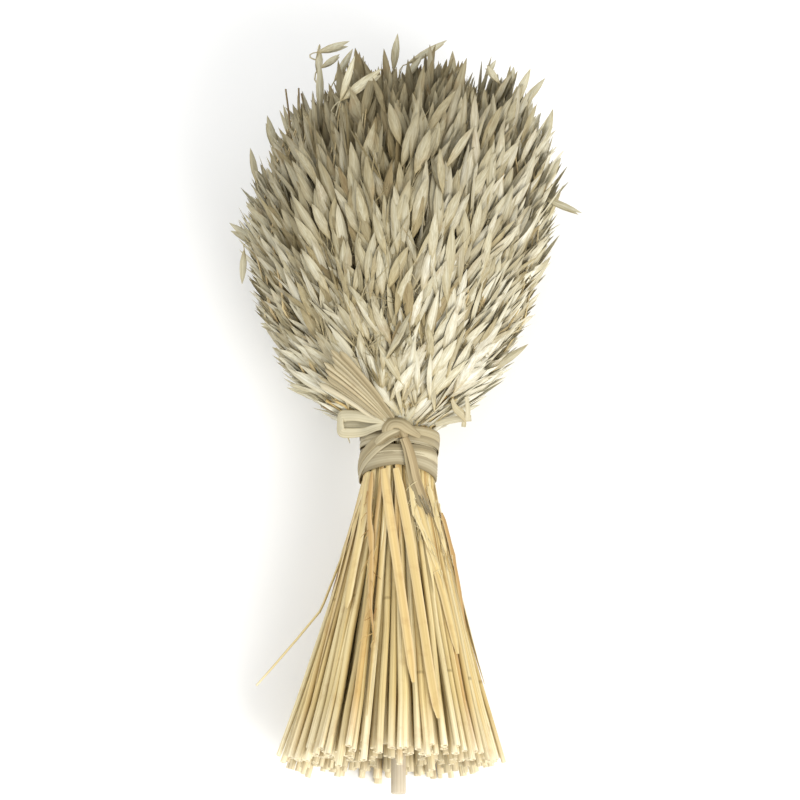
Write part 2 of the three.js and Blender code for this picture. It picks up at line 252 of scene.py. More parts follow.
class Workpiece:
    """A primitive that is shaped in edit mode. Its unit is the millimetre until it is copied."""

    def __init__(self, primitive: Callable[..., set[str]], **sizes: float) -> None:
        """Adds the primitive and opens it.

        Args:
            primitive: the operator that adds it.
            sizes: the operator's own sizes.
        """
        bpy.ops.object.select_all(action="DESELECT")
        primitive(**sizes)
        self.object = bpy.context.active_object
        bpy.ops.object.transform_apply(location=True, rotation=True, scale=True)
        bpy.ops.object.mode_set(mode="EDIT")

    @classmethod
    def cylinder(cls, sides: int, height: float, radius: float = 1.0) -> Workpiece:
        """A cylinder that stands on the middle of its foot."""
        add, middle = bpy.ops.mesh.primitive_cylinder_add, (0.0, 0.0, height / 2)
        return cls(add, vertices=sides, radius=radius, depth=height, location=middle)

    def pick(self, where: Callable[[Vector], bool]) -> Workpiece:
        """Selects the vertices that a test of their place accepts, and what lies between them."""
        bpy.ops.mesh.select_mode(type="VERT")
        bpy.ops.mesh.select_all(action="DESELECT")
        mesh = bmesh.from_edit_mesh(self.object.data)
        for vertex in mesh.verts:
            vertex.select = where(vertex.co)
        mesh.select_flush(True)
        bmesh.update_edit_mesh(self.object.data)
        return self

    def pick_faces(self, where: Callable[[Vector, Vector], bool]) -> Workpiece:
        """Selects the faces that a test of their middle and normal accepts."""
        bpy.ops.mesh.select_mode(type="FACE")
        bpy.ops.mesh.select_all(action="DESELECT")
        mesh = bmesh.from_edit_mesh(self.object.data)
        for face in mesh.faces:
            face.select = where(face.calc_center_median(), face.normal)
        bmesh.update_edit_mesh(self.object.data)
        return self

    def move(self, x: float = 0.0, y: float = 0.0, z: float = 0.0) -> Workpiece:
        """Moves what is selected."""
        bpy.ops.transform.translate(value=(x, y, z))
        return self

    def stretch(self, x: float = 1.0, y: float = 1.0, z: float = 1.0) -> Workpiece:
        """Stretches what is selected about the Z axis at its foot."""
        bpy.ops.transform.resize(value=(x, y, z), center_override=(0.0, 0.0, 0.0))
        return self

    def slice(self, heights: list[float]) -> Workpiece:
        """Cuts a loop of edges round the whole piece at each height."""
        for height in heights:
            bpy.ops.mesh.select_all(action="SELECT")
            bpy.ops.mesh.bisect(plane_co=(0.0, 0.0, height), plane_no=(0.0, 0.0, 1.0))
        return self

    def hollow(self, rim: float, depth: float) -> Workpiece:
        """Insets the selected end face and pushes it in, so that the end is an open tube's."""
        bpy.ops.mesh.inset(thickness=rim, use_even_offset=True)
        bpy.ops.mesh.extrude_region_move(TRANSFORM_OT_translate={"value": (0.0, 0.0, depth)})
        return self

    def thicken(self, thickness: float) -> Workpiece:
        """Gives a sheet its thickness with a modifier that is applied."""
        bpy.ops.object.mode_set(mode="OBJECT")
        wall = self.object.modifiers.new("thickness", "SOLIDIFY")
        wall.thickness = thickness
        wall.offset = 0.0
        wall.use_even_offset = True
        bpy.ops.object.modifier_apply(modifier=wall.name)
        bpy.ops.object.mode_set(mode="EDIT")
        return self

    def cast(self) -> Pattern:
        """Closes the piece and takes its shape, and removes the object."""
        bpy.ops.mesh.select_all(action="SELECT")
        bpy.ops.mesh.normals_make_consistent(inside=False)
        bpy.ops.object.mode_set(mode="OBJECT")
        mesh = self.object.data
        points = mesh_points(self.object)
        corners = np.empty(len(mesh.loops), dtype=np.int32)
        mesh.loops.foreach_get("vertex_index", corners)
        sizes = np.empty(len(mesh.polygons), dtype=np.int32)
        mesh.polygons.foreach_get("loop_total", sizes)
        bpy.data.objects.remove(self.object)
        bpy.data.meshes.remove(mesh)
        return Pattern(points, corners, sizes, np.ones(len(points)), np.zeros(len(points)))


@dataclass(frozen=True)
class Pattern:
    """A modelled shape that copies are made from. It grows along +Z and its outer side is +Y.

    A copy is laid as a mirror image, so its faces are listed backwards to keep their outsides out.

    Attributes:
        points: its vertices in millimetres.
        corners: the vertices of its faces, one face after another.
        sizes: the number of corners of each face.
        shade: how light each vertex is, from 0 to 1; mostly painted shade in hollows, creases and on sides
            turned away, with a straw's own dark joint.
        warm: how much of its foot's colour each vertex has, from 0 to 1.
    """

    points: np.ndarray
    corners: np.ndarray
    sizes: np.ndarray
    shade: np.ndarray
    warm: np.ndarray

    def toned(self, shade: np.ndarray, warm: np.ndarray | float = 0.0) -> Pattern:
        """The same shape with each vertex's lightness and warmth given."""
        warm = np.broadcast_to(warm, shade.shape)
        return Pattern(self.points, self.corners, self.sizes, shade, warm)

    def turned(self) -> Pattern:
        """The same shape turned half way round its own length."""
        points = self.points * (-1.0, -1.0, 1.0)
        return Pattern(points, self.corners, self.sizes, self.shade, self.warm)

    @staticmethod
    def joined(patterns: list[Pattern]) -> Pattern:
        """Several shapes as one."""
        starts = np.cumsum([0] + [len(p.points) for p in patterns[:-1]])
        return Pattern(
            np.concatenate([p.points for p in patterns]),
            np.concatenate([p.corners + start for p, start in zip(patterns, starts)]),
            np.concatenate([p.sizes for p in patterns]),
            np.concatenate([p.shade for p in patterns]),
            np.concatenate([p.warm for p in patterns]),
        )


@dataclass(frozen=True)
class Tones:
    """The colouring of each of a number of copies.

    Attributes:
        hue: where each one lies in its finish's range of colours, from 0 to 1.
        light: how light each one is, from 0 to 1, partly painted light and shade.
        warm: how much of its foot's colour each one has all over, from 0 to 1; on deep spikelets this is
            warm painted shade.
    """

    hue: np.ndarray
    light: np.ndarray
    warm: np.ndarray | float = 0.0

    def of(self, chosen: np.ndarray) -> Tones:
        """The colouring of the chosen copies."""
        warm = np.broadcast_to(self.warm, self.hue.shape)
        return Tones(self.hue[chosen], self.light[chosen], warm[chosen])

    @staticmethod
    def single(hue: float, light: float = 0.95, warm: float = 0.0) -> Tones:
        """The colouring of one copy."""
        return Tones(np.array([hue]), np.array([light]), np.array([warm]))


@dataclass(frozen=True)
class Spines:
    """Smooth lines that copies of a pattern are laid along, each through the same count of points.

    Attributes:
        points: the lines' points, (lines, points, 3), in the sheaf's frame.
        facing: the way that each line's outer side looks, (lines, 3) or (lines, points, 3).
    """

    points: np.ndarray
    facing: np.ndarray

    def _between(self, values: np.ndarray, along: np.ndarray) -> np.ndarray:
        """Values that are given at the points, smoothly between them at shares of the way along."""
        last = values.shape[1] - 1
        at = np.clip(along, 0, 1) * last
        step = np.minimum(at.astype(int), last - 1)
        t = (at - step)[None, :, None]
        before = values[:, np.maximum(step - 1, 0)]
        start, end = values[:, step], values[:, step + 1]
        after = values[:, np.minimum(step + 2, last)]
        curve = 2 * before - 5 * start + 4 * end - after
        bend = 3 * (start - end) + after - before
        return start + 0.5 * t * (end - before + t * (curve + t * bend))

    def at(self, along: np.ndarray) -> np.ndarray:
        """The lines' points at shares of the way along them, (lines, shares, 3)."""
        return self._between(self.points, along)

    def lay(self, pattern: Pattern, width: Callable, bulge: Callable | None = None) -> np.ndarray:
        """Lays a copy of a pattern along every line.

        Args:
            pattern: the shape; its full height is spread over the line's length.
            width: gives the scale across at shares of the way along, one value or one per line.
            bulge: gives the scale of the depth in the same way; by default the width's.

        Returns:
            The copies' vertices, (lines, vertices, 3).
        """
        height = pattern.points[:, 2]
        along = (height - height.min()) / (height.max() - height.min())
        middle = self._between(self.points, along)
        ahead = self._between(self.points, np.minimum(along + 0.01, 1))
        behind = self._between(self.points, np.maximum(along - 0.01, 0))
        forward = unit(ahead - behind)
        facing = self.facing if self.facing.ndim == 3 else self.facing[:, None, :]
        if facing.shape[1] > 1:
            facing = self._between(facing, along)
        across = unit(np.cross(forward, facing))
        outward = np.cross(across, forward)
        wide = np.asarray(width(along))[..., None]
        deep = np.asarray(bulge(along))[..., None] if bulge else wide
        return middle + across * pattern.points[:, :1] * wide + outward * pattern.points[:, 1:2] * deep


class Batch:
    """Copies of patterns that are gathered up to become one piece."""

    def __init__(self, axes: SheafAxes, rest: Rest, rng: np.random.Generator) -> None:
        """Starts with nothing in it.

        Args:
            axes: the sheaf's frame.
            rest: the surface that the sheaf lies on.
            rng: where each copy's shift of its grain comes from.
        """
        self.axes, self.rest, self.rng = axes, rest, rng
        self.points: list[np.ndarray] = []
        self.corners: list[np.ndarray] = []
        self.sizes: list[np.ndarray] = []
        self.grain: list[np.ndarray] = []
        self.tone: list[np.ndarray] = []
        self.count = 0

    def add(self, pattern: Pattern, copies: np.ndarray, tones: Tones) -> None:
        """Adds copies of a pattern.

        Args:
            pattern: the shape that they are copies of.
            copies: their vertices in the sheaf's frame, (copies, vertices, 3).
            tones: their colours.
        """
        number, vertices = copies.shape[:2]
        starts = self.count + np.arange(number) * vertices
        self.points.append(copies.reshape(-1, 3))
        self.corners.append((pattern.corners[None, ::-1] + starts[:, None]).ravel())
        self.sizes.append(np.tile(pattern.sizes[::-1], number))
        shift = self.rng.uniform(0, 400, (number, 1, 3))
        self.grain.append((pattern.points[None] + shift).reshape(-1, 3))
        warm = np.broadcast_to(tones.warm, tones.hue.shape)[:, None]
        tone = np.ones((number, vertices, 4))
        tone[..., 0] = tones.hue[:, None]
        # The lightness carries the pattern's and the copy's painted shade and light.
        tone[..., 1] = tones.light[:, None] * pattern.shade[None]
        tone[..., 2] = 1 - (1 - warm) * (1 - pattern.warm[None])
        self.tone.append(tone.reshape(-1, 4))
        self.count += number * vertices

    def piece(self, name: str, material: bpy.types.Material, smooth: float = 60.0) -> bpy.types.Object:
        """Makes one object of all the copies.

        Args:
            name: the piece's name.
            material: its material.
            smooth: the sharpest angle in degrees that is still shaded smooth.

        Returns:
            The object, at the origin, with its place in its mesh.
        """
        points = self.rest.press(self.axes.out(np.concatenate(self.points)))
        corners, sizes = np.concatenate(self.corners), np.concatenate(self.sizes)
        mesh = bpy.data.meshes.new(name)
        mesh.vertices.add(len(points))
        mesh.vertices.foreach_set("co", points.ravel())
        mesh.loops.add(len(corners))
        mesh.loops.foreach_set("vertex_index", corners.astype(np.int32))
        mesh.polygons.add(len(sizes))
        starts = np.concatenate(([0], np.cumsum(sizes)[:-1])).astype(np.int32)
        mesh.polygons.foreach_set("loop_start", starts)
        mesh.update(calc_edges=True)
        grain = mesh.attributes.new("grain", "FLOAT_VECTOR", "POINT")
        grain.data.foreach_set("vector", np.concatenate(self.grain).ravel())
        tone = mesh.attributes.new("tone", "FLOAT_COLOR", "POINT")
        tone.data.foreach_set("color", np.concatenate(self.tone).ravel())
        mesh.materials.append(material)
        obj = bpy.data.objects.new(name, mesh)
        bpy.context.collection.objects.link(obj)
        bpy.ops.object.select_all(action="DESELECT")
        obj.select_set(True)
        bpy.context.view_layer.objects.active = obj
        bpy.ops.object.shade_smooth_by_angle(angle=math.radians(smooth))
        return obj


# ---------------------------------------------------------------------------------------------
# Finishes
# ---------------------------------------------------------------------------------------------

Colour = tuple[float, float, float]


def linear(red: int, green: int, blue: int) -> Colour:
    """A colour given as it looks on a screen, from 0 to 255, as the values that light works with."""
    shares = (value / 255 for value in (red, green, blue))
    return tuple(s / 12.92 if s <= 0.04045 else ((s + 0.055) / 1.055) ** 2.4 for s in shares)


class Wiring:
    """Adds and joins the nodes of one node tree."""

    def __init__(self, tree: bpy.types.NodeTree) -> None:
        """Starts on a tree, which may be a material's or a group's."""
        self.tree = tree

    def node(self, kind: str, inputs: dict | None = None, **settings: object) -> bpy.types.Node:
        """Adds a node.

        Args:
            kind: its type.
            inputs: values, or sockets to link, by the name or number of the input.
            settings: its other settings.

        Returns:
            The node.
        """
        node = self.tree.nodes.new(kind)
        for name, value in settings.items():
            setattr(node, name, value)
        for key, value in (inputs or {}).items():
            if isinstance(value, bpy.types.NodeSocket):
                self.tree.links.new(value, node.inputs[key])
            else:
                node.inputs[key].default_value = value
        return node

    def maths(self, operation: str, *values: object) -> bpy.types.NodeSocket:
        """The result of a Math node on numbers or sockets."""
        node = self.node("ShaderNodeMath", dict(enumerate(values)), operation=operation)
        return node.outputs[0]

    def mix(
        self, share: object, first: object, second: object, blend: str = "MIX"
    ) -> bpy.types.NodeSocket:
        """A mix of two colours."""
        inputs = {"Factor": share, 6: first, 7: second}
        node = self.node("ShaderNodeMix", inputs, data_type="RGBA", blend_type=blend)
        return node.outputs[2]

    def spread(
        self, value: object, low: float, high: float, new_low: float, new_high: float
    ) -> bpy.types.NodeSocket:
        """A value's range mapped to another, and kept inside it."""
        inputs = {0: value, 1: low, 2: high, 3: new_low, 4: new_high}
        return self.node("ShaderNodeMapRange", inputs).outputs[0]


def node_group(name: str, inputs: dict[str, tuple[str, object]], outputs: dict[str, str]) -> tuple:
    """Makes an empty shader node group.

    Args:
        name: the group's name.
        inputs: each input's socket type and value, by name.
        outputs: each output's socket type, by name.

    Returns:
        The group, its wiring, and its input and output nodes.
    """
    group = bpy.data.node_groups.new(name, "ShaderNodeTree")
    for label, (kind, value) in inputs.items():
        socket = group.interface.new_socket(label, in_out="INPUT", socket_type=kind)
        if value is not None:
            socket.default_value = value
    for label, kind in outputs.items():
        group.interface.new_socket(label, in_out="OUTPUT", socket_type=kind)
    wiring = Wiring(group)
    return group, wiring, wiring.node("NodeGroupInput"), wiring.node("NodeGroupOutput")


class Effects:
    """The effects that several finishes share, each built once."""

    def __init__(self) -> None:
        """Builds the groups."""
        self.fibres = self._fibres()
        self.toning = self._toning()
        self.stains = self._stains()

    def _fibres(self) -> bpy.types.NodeTree:
        """Long fibres and veins that run along the grain."""
        inputs = {
            "Grain": ("NodeSocketVector", None),
            "Across": ("NodeSocketFloat", 1.0),
            "Along": ("NodeSocketFloat", 0.05),
        }
        outputs = {"Fibre": "NodeSocketFloat", "Streak": "NodeSocketFloat"}
        group, wiring, start, end = node_group("plant fibres", inputs, outputs)
        across, along = start.outputs["Across"], start.outputs["Along"]
        for label, share, detail in (("Fibre", 1.0, 2.0), ("Streak", 0.3, 3.0)):
            wide = wiring.maths("MULTIPLY", across, share)
            long = wiring.maths("MULTIPLY", along, share)
            scale = wiring.node("ShaderNodeCombineXYZ", {0: wide, 1: wide, 2: long})
            scaled = {0: start.outputs["Grain"], 1: scale.outputs[0]}
            place = wiring.node("ShaderNodeVectorMath", scaled, operation="MULTIPLY")
            noise = {"Vector": place.outputs[0], "Scale": 1.0, "Detail": detail, "Roughness": 0.6}
            texture = wiring.node("ShaderNodeTexNoise", noise)
            value = wiring.spread(texture.outputs[0], 0.32, 0.68, 0.0, 1.0)
            wiring.tree.links.new(value, end.inputs[label])
        return group

    def _toning(self) -> bpy.types.NodeTree:
        """A dry plant's colour from a range of four, its lightness, which carries painted shade, and its
        fibres.
        """
        inputs = {
            "Hue": ("NodeSocketFloat", 0.5),
            "Light": ("NodeSocketFloat", 0.5),
            "Warm Share": ("NodeSocketFloat", 0.0),
            "Fibre": ("NodeSocketFloat", 0.5),
            "Streak": ("NodeSocketFloat", 0.5),
            "Contrast": ("NodeSocketFloat", 0.3),
        }
        for label in ("Deep", "Warm", "Middle", "Pale", "Foot"):
            inputs[label] = ("NodeSocketColor", None)
        group, wiring, start, end = node_group("dry plant toning", inputs, {"Color": "NodeSocketColor"})
        get = start.outputs
        hue = wiring.maths("ADD", get["Hue"], wiring.spread(get["Streak"], 0, 1, -0.12, 0.12))
        colour = wiring.mix(wiring.spread(hue, 0.0, 0.33, 0, 1), get["Deep"], get["Warm"])
        colour = wiring.mix(wiring.spread(hue, 0.33, 0.62, 0, 1), colour, get["Middle"])
        colour = wiring.mix(wiring.spread(hue, 0.62, 1.0, 0, 1), colour, get["Pale"])
        colour = wiring.mix(get["Warm Share"], colour, get["Foot"])
        dark = wiring.maths("SUBTRACT", 1.0, get["Fibre"])
        depth = wiring.maths("SUBTRACT", 1.0, wiring.maths("MULTIPLY", dark, get["Contrast"]))
        light = wiring.maths("MULTIPLY", get["Light"], depth)
        # Blue darkens faster than red with the lightness, so the painted shade is warm.
        red, blue = wiring.maths("POWER", light, 0.9), wiring.maths("POWER", light, 1.24)
        shade = wiring.node("ShaderNodeCombineColor", {0: red, 1: light, 2: blue})
        colour = wiring.mix(1.0, colour, shade.outputs[0], "MULTIPLY")
        wiring.tree.links.new(colour, end.inputs["Color"])
        return group

    def _stains(self) -> bpy.types.NodeTree:
        """Scattered spots and patches of age."""
        inputs = {
            "Vector": ("NodeSocketVector", None),
            "Scale": ("NodeSocketFloat", 60.0),
            "Amount": ("NodeSocketFloat", 0.3),
        }
        group, wiring, start, end = node_group("age stains", inputs, {"Mask": "NodeSocketFloat"})
        place, scale = start.outputs["Vector"], start.outputs["Scale"]
        noise = {"Vector": place, "Scale": scale, "Detail": 4.0, "Roughness": 0.65}
        texture = wiring.node("ShaderNodeTexNoise", noise)
        patch = wiring.spread(texture.outputs[0], 0.55, 0.75, 0.0, 1.0)
        mask = wiring.maths("MULTIPLY", patch, start.outputs["Amount"])
        wiring.tree.links.new(mask, end.inputs["Mask"])
        return group


@dataclass(frozen=True)
class PlantFinish:
    """The look of one kind of dry plant matter.

    Attributes:
        name: the material's name.
        slot: the record's slot that it belongs to.
        deep, warm, middle, pale: the range of its colours.
        foot: the colour it takes on where it grows from.
        stain: the colour of its stains.
        stained: how strong they are.
        contrast: how dark its fibres are.
        fibre: fibres across a millimetre, and how much they vary along one.
        relief: how high its fibres stand, in metres.
        roughness: from its smoothest to its roughest.
    """

    name: str
    slot: str
    deep: Colour
    warm: Colour
    middle: Colour
    pale: Colour
    foot: Colour
    stain: Colour
    stained: float = 0.25
    contrast: float = 0.3
    fibre: tuple[float, float] = (1.6, 0.05)
    relief: float = 0.00015
    roughness: tuple[float, float] = (0.5, 0.75)

    def material(self, effects: Effects) -> bpy.types.Material:
        """Builds the material.

        Args:
            effects: the shared effects.

        Returns:
            The material.
        """
        material = bpy.data.materials.new(self.name)
        material.use_nodes = True
        tree = material.node_tree
        tree.nodes.clear()
        wiring = Wiring(tree)
        grain = wiring.node("ShaderNodeAttribute", attribute_name="grain")
        tone = wiring.node("ShaderNodeAttribute", attribute_name="tone")
        parts = wiring.node("ShaderNodeSeparateColor", {0: tone.outputs["Color"]})
        across, along = self.fibre
        fibres = {"Grain": grain.outputs["Vector"], "Across": across, "Along": along}
        fibre = wiring.node("ShaderNodeGroup", fibres, node_tree=effects.fibres)
        tones = {
            "Hue": parts.outputs[0],
            "Light": parts.outputs[1],
            "Warm Share": parts.outputs[2],
            "Fibre": fibre.outputs["Fibre"],
            "Streak": fibre.outputs["Streak"],
            "Contrast": self.contrast,
        }
        for label in ("deep", "warm", "middle", "pale", "foot"):
            tones[label.capitalize()] = (*getattr(self, label), 1)
        toning = wiring.node("ShaderNodeGroup", tones, node_tree=effects.toning)
        place = wiring.node("ShaderNodeTexCoord").outputs["Object"]
        patches = {"Vector": place, "Scale": 90.0, "Amount": self.stained}
        stains = wiring.node("ShaderNodeGroup", patches, node_tree=effects.stains)
        colour = wiring.mix(stains.outputs["Mask"], toning.outputs["Color"], (*self.stain, 1))
        rough = wiring.spread(fibre.outputs["Streak"], 0, 1, *self.roughness)
        height = {"Height": fibre.outputs["Fibre"], "Distance": self.relief, "Strength": 1.0}
        bump = wiring.node("ShaderNodeBump", height)
        shader = {"Base Color": colour, "Roughness": rough, "Normal": bump.outputs[0]}
        principled = wiring.node("ShaderNodeBsdfPrincipled", shader)
        principled.inputs["Specular IOR Level"].default_value = 0.35
        wiring.node("ShaderNodeOutputMaterial", {"Surface": principled.outputs[0]})
        return material


HUSK = PlantFinish(
    name="oat husk",
    slot="oat_husk",
    deep=linear(142, 120, 80),
    warm=linear(198, 190, 158),
    middle=linear(224, 224, 207),
    pale=linear(248, 250, 243),
    foot=linear(198, 184, 142),
    stain=linear(132, 98, 56),
    stained=0.25,
    contrast=0.36,
    fibre=(1.7, 0.06),
    relief=0.0001,
)
STRAW = PlantFinish(
    name="golden straw",
    slot="straw",
    deep=linear(152, 108, 56),
    warm=linear(206, 174, 112),
    middle=linear(219, 198, 141),
    pale=linear(233, 221, 180),
    foot=linear(252, 242, 212),
    stain=linear(150, 106, 54),
    stained=0.3,
    contrast=0.35,
    fibre=(2.0, 0.03),
    relief=0.0001,
    roughness=(0.35, 0.6),
)
TIE = PlantFinish(
    name="leaf tie",
    slot="leaf_tie",
    deep=linear(124, 104, 72),
    warm=linear(174, 156, 120),
    middle=linear(192, 181, 150),
    pale=linear(214, 207, 184),
    foot=linear(184, 170, 134),
    stain=linear(120, 92, 60),
    stained=0.25,
    contrast=0.62,
    fibre=(1.3, 0.02),
    relief=0.0003,
)
LEAF = PlantFinish(
    name="dry leaf",
    slot="dry_leaf",
    deep=linear(140, 120, 82),
    warm=linear(184, 170, 134),
    middle=linear(203, 196, 168),
    pale=linear(226, 222, 204),
    foot=linear(188, 174, 136),
    stain=linear(136, 110, 74),
    stained=0.2,
    contrast=0.35,
    fibre=(1.4, 0.02),
    relief=0.0002,
)
STICK = PlantFinish(
    name="pale wood",
    slot="stick_wood",
    deep=linear(178, 150, 114),
    warm=linear(204, 190, 164),
    middle=linear(213, 203, 183),
    pale=linear(226, 218, 202),
    foot=linear(236, 220, 196),
    stain=linear(168, 124, 86),
    stained=0.25,
    contrast=0.22,
    fibre=(1.2, 0.015),
    relief=0.00008,
    roughness=(0.55, 0.7),
)


# ---------------------------------------------------------------------------------------------
# Stalks
# ---------------------------------------------------------------------------------------------


@dataclass(frozen=True)
class Glume:
    """One papery scale of a spikelet, modelled as a thin boat. Sizes are in millimetres.

    Attributes:
        length: from its foot to its point.
        width: across its widest place.
        opening: how far it leans out, as a slope.
        bow: how far its point bends out.
        depth: how high its back stands over its edges.
        wall: how thick it is at its back.
    """

    length: float = 27.5
    width: float = 5.4
    opening: float = 0.12
    bow: float = 0.8
    depth: float = 1.2
    wall: float = 0.4

    RINGS = (0.06, 0.2, 0.4, 0.61, 0.8, 0.93)
    WIDTHS = (0.2, 0.62, 0.98, 0.96, 0.62, 0.25)
    BACKS = (0.5, 0.9, 1.0, 0.9, 0.6, 0.3)

    def pattern(self) -> Pattern:
        """Shapes a coarse sphere ring by ring into the scale.

        Returns:
            The scale, standing on its foot, with its back to +Y.
        """
        piece = Workpiece(bpy.ops.mesh.primitive_uv_sphere_add, segments=4, ring_count=7, radius=1.0)
        piece.pick(lambda at: at.z > 0.99).move(y=self._lean(1.0), z=self.length - 1.0)
        for ring in range(6, 0, -1):
            old = -math.cos(ring * math.pi / 7)
            radius = math.sin(ring * math.pi / 7)
            share, height = self.RINGS[ring - 1], self.RINGS[ring - 1] * self.length
            piece.pick(lambda at: abs(at.z - old) < 0.05 and abs(at.x) < 1.01)
            piece.move(y=self._lean(share), z=height - old)
            half = self.WIDTHS[ring - 1] * self.width / 2
            on_ring = lambda at: abs(at.z - height) < 0.001
            piece.pick(lambda at: on_ring(at) and at.x > radius / 2).move(x=half - radius)
            piece.pick(lambda at: on_ring(at) and at.x < -radius / 2).move(x=radius - half)
            back = self.BACKS[ring - 1] * self.depth
            lean = self._lean(share)
            outer = lambda at: on_ring(at) and abs(at.x) < 0.01 and at.y > lean
            piece.pick(outer).move(y=back - radius)
            wall = min(self.wall, 0.8 * back)
            inner = lambda at: on_ring(at) and abs(at.x) < 0.01 and at.y < lean
            piece.pick(inner).move(y=back - wall + radius)
        piece.pick(lambda at: at.z < -0.99).move(z=1.0)
        shape = piece.cast()
        share = shape.points[:, 2] / self.length
        edge = np.clip(4 * np.abs(shape.points[:, 0]) / self.width, 0, 1)
        leans = np.array([self._lean(max(at[2] / self.length, 0)) for at in shape.points])
        under = shape.points[:, 1] < leans + 0.5 * self.depth
        # Painted shade: the middle of the inner hollow is darker; the edges are darker than the back, partly
        # painted shade on the rounding and partly their own browner colour.
        shade = 1 - 0.12 * edge - 0.2 * (under & (edge < 0.1))
        warm = np.interp(share, (0, 0.12, 0.5, 1), (0.95, 0.6, 0.1, 0.25)) + 0.3 * edge
        return shape.toned(shade, np.clip(warm, 0, 1))

    def _lean(self, share: float) -> float:
        """How far out the scale's edges are at a share of its length."""
        return self.opening * self.length * share + self.bow * share**2.5


@dataclass(frozen=True)
class Floret:
    """The slim inner seed coat of a spikelet, with or without a bristle. Sizes are in millimetres."""

    length: float = 17.0
    width: float = 2.0
    bristle: float = 0.0

    def pattern(self) -> Pattern:
        """Stretches a coarse sphere into a spindle, and pulls its point out into a bristle."""
        piece = Workpiece(bpy.ops.mesh.primitive_uv_sphere_add, segments=4, ring_count=4, radius=1.0)
        piece.pick(lambda at: True).move(z=1.0).stretch(self.width / 2, self.width / 2, self.length / 2)
        if self.bristle:
            piece.pick(lambda at: at.z > 0.99 * self.length).move(x=0.3 * self.bristle, z=self.bristle)
        shape = piece.cast()
        return shape.toned(np.full(len(shape.points), 0.85), 0.75)


class Spikelet(Enum):
    """The kinds of spikelet that the ears are made of, as two scales and what is between them."""

    GAPING = (Glume(opening=0.15, bow=1.2), Glume(length=25.5, opening=0.15, bow=1.6), Floret())
    HALF_OPEN = (Glume(opening=0.08), Glume(length=26.0, opening=0.1, bow=0.4), Floret(length=16.0))
    SHUT = (
        Glume(length=28.0, width=5.0, opening=0.03, bow=0.2),
        Glume(length=26.0, width=4.8, opening=0.04),
        None,
    )
    LONG = (
        Glume(length=33.0, width=4.8, opening=0.04),
        Glume(length=30.5, width=4.4, opening=0.06),
        None,
    )
    SHORT = (
        Glume(length=23.0, width=6.0, opening=0.14, depth=1.5),
        Glume(length=22.0, width=5.8, opening=0.16, depth=1.5),
        Floret(length=16.0, width=2.4),
    )
    CURLED = (
        Glume(length=28.0, opening=0.06, bow=4.0),
        Glume(length=24.5, opening=0.08, bow=-0.5),
        None,
    )
    BRISTLED = (Glume(opening=0.1, bow=0.5), Glume(opening=0.1), Floret(bristle=16.0))
    TORN = (Glume(length=29.0, width=5.6, opening=0.02, depth=0.8), None, None)

    def pattern(self) -> Pattern:
        """Models the spikelet, standing on its foot."""
        front, rear, floret = self.value
        parts = [front.pattern()]
        if rear:
            parts.append(rear.pattern().turned())
        if floret:
            parts.append(floret.pattern())
        return Pattern.joined(parts)


@dataclass(frozen=True)
class StrawShape:
    """A hollow straw with one joint, of radius 1, to be laid along a line. Sizes are in millimetres."""

    sides: int = 8
    height: float = 100.0
    rim: float = 0.3
    bore: float = 4.0
    joint: float = 24.0
    jointed: bool = True

    def pattern(self) -> Pattern:
        """Slices a cylinder into loops, swells the joint, hollows the cut end, and paints shade in the bore
        and on the back.
        """
        piece = Workpiece.cylinder(self.sides, self.height)
        piece.slice([3.0, 12.0, 28.0, 44.0, 60.0, 76.0, 88.0])
        if self.jointed:
            piece.slice([self.joint - 0.5, self.joint - 0.15, self.joint + 0.15, self.joint + 0.5])
            piece.pick(lambda at: abs(at.z - self.joint) < 0.3).stretch(1.1, 1.1)
        piece.pick_faces(lambda at, normal: normal.z < -0.9).hollow(self.rim, self.bore)
        shape = piece.cast()
        radius, height = np.hypot(shape.points[:, 0], shape.points[:, 1]), shape.points[:, 2]
        # Painted shade: the bore is darker inside, and each straw is darker towards its back, which faces
        # into the bundle; the joint's dark ring is its own colour.
        inside = (radius < 0.85) & (height > 1)
        joint = np.abs(height - self.joint) < 0.3
        shade = np.where(inside, 0.66, np.where(joint & self.jointed, 0.6, 1.0))
        away = 0.5 - 0.5 * shape.points[:, 1] / np.maximum(radius, 0.1)
        shade = shade * (1 - 0.46 * away * np.interp(height, (3, 28), (0, 1)))
        return shape.toned(shade, np.interp(height, (0, 3, 12), (0.9, 0.5, 0.0)))


@dataclass(frozen=True)
class StemShape:
    """A thin stem of radius 1, to be laid along a line. Sizes are in millimetres."""

    sides: int = 4
    loops: int = 4
    height: float = 100.0

    def pattern(self) -> Pattern:
        """Slices a coarse cylinder into loops."""
        piece = Workpiece.cylinder(self.sides, self.height)
        piece.slice([self.height * (i + 1) / (self.loops + 1) for i in range(self.loops)])
        return piece.cast()


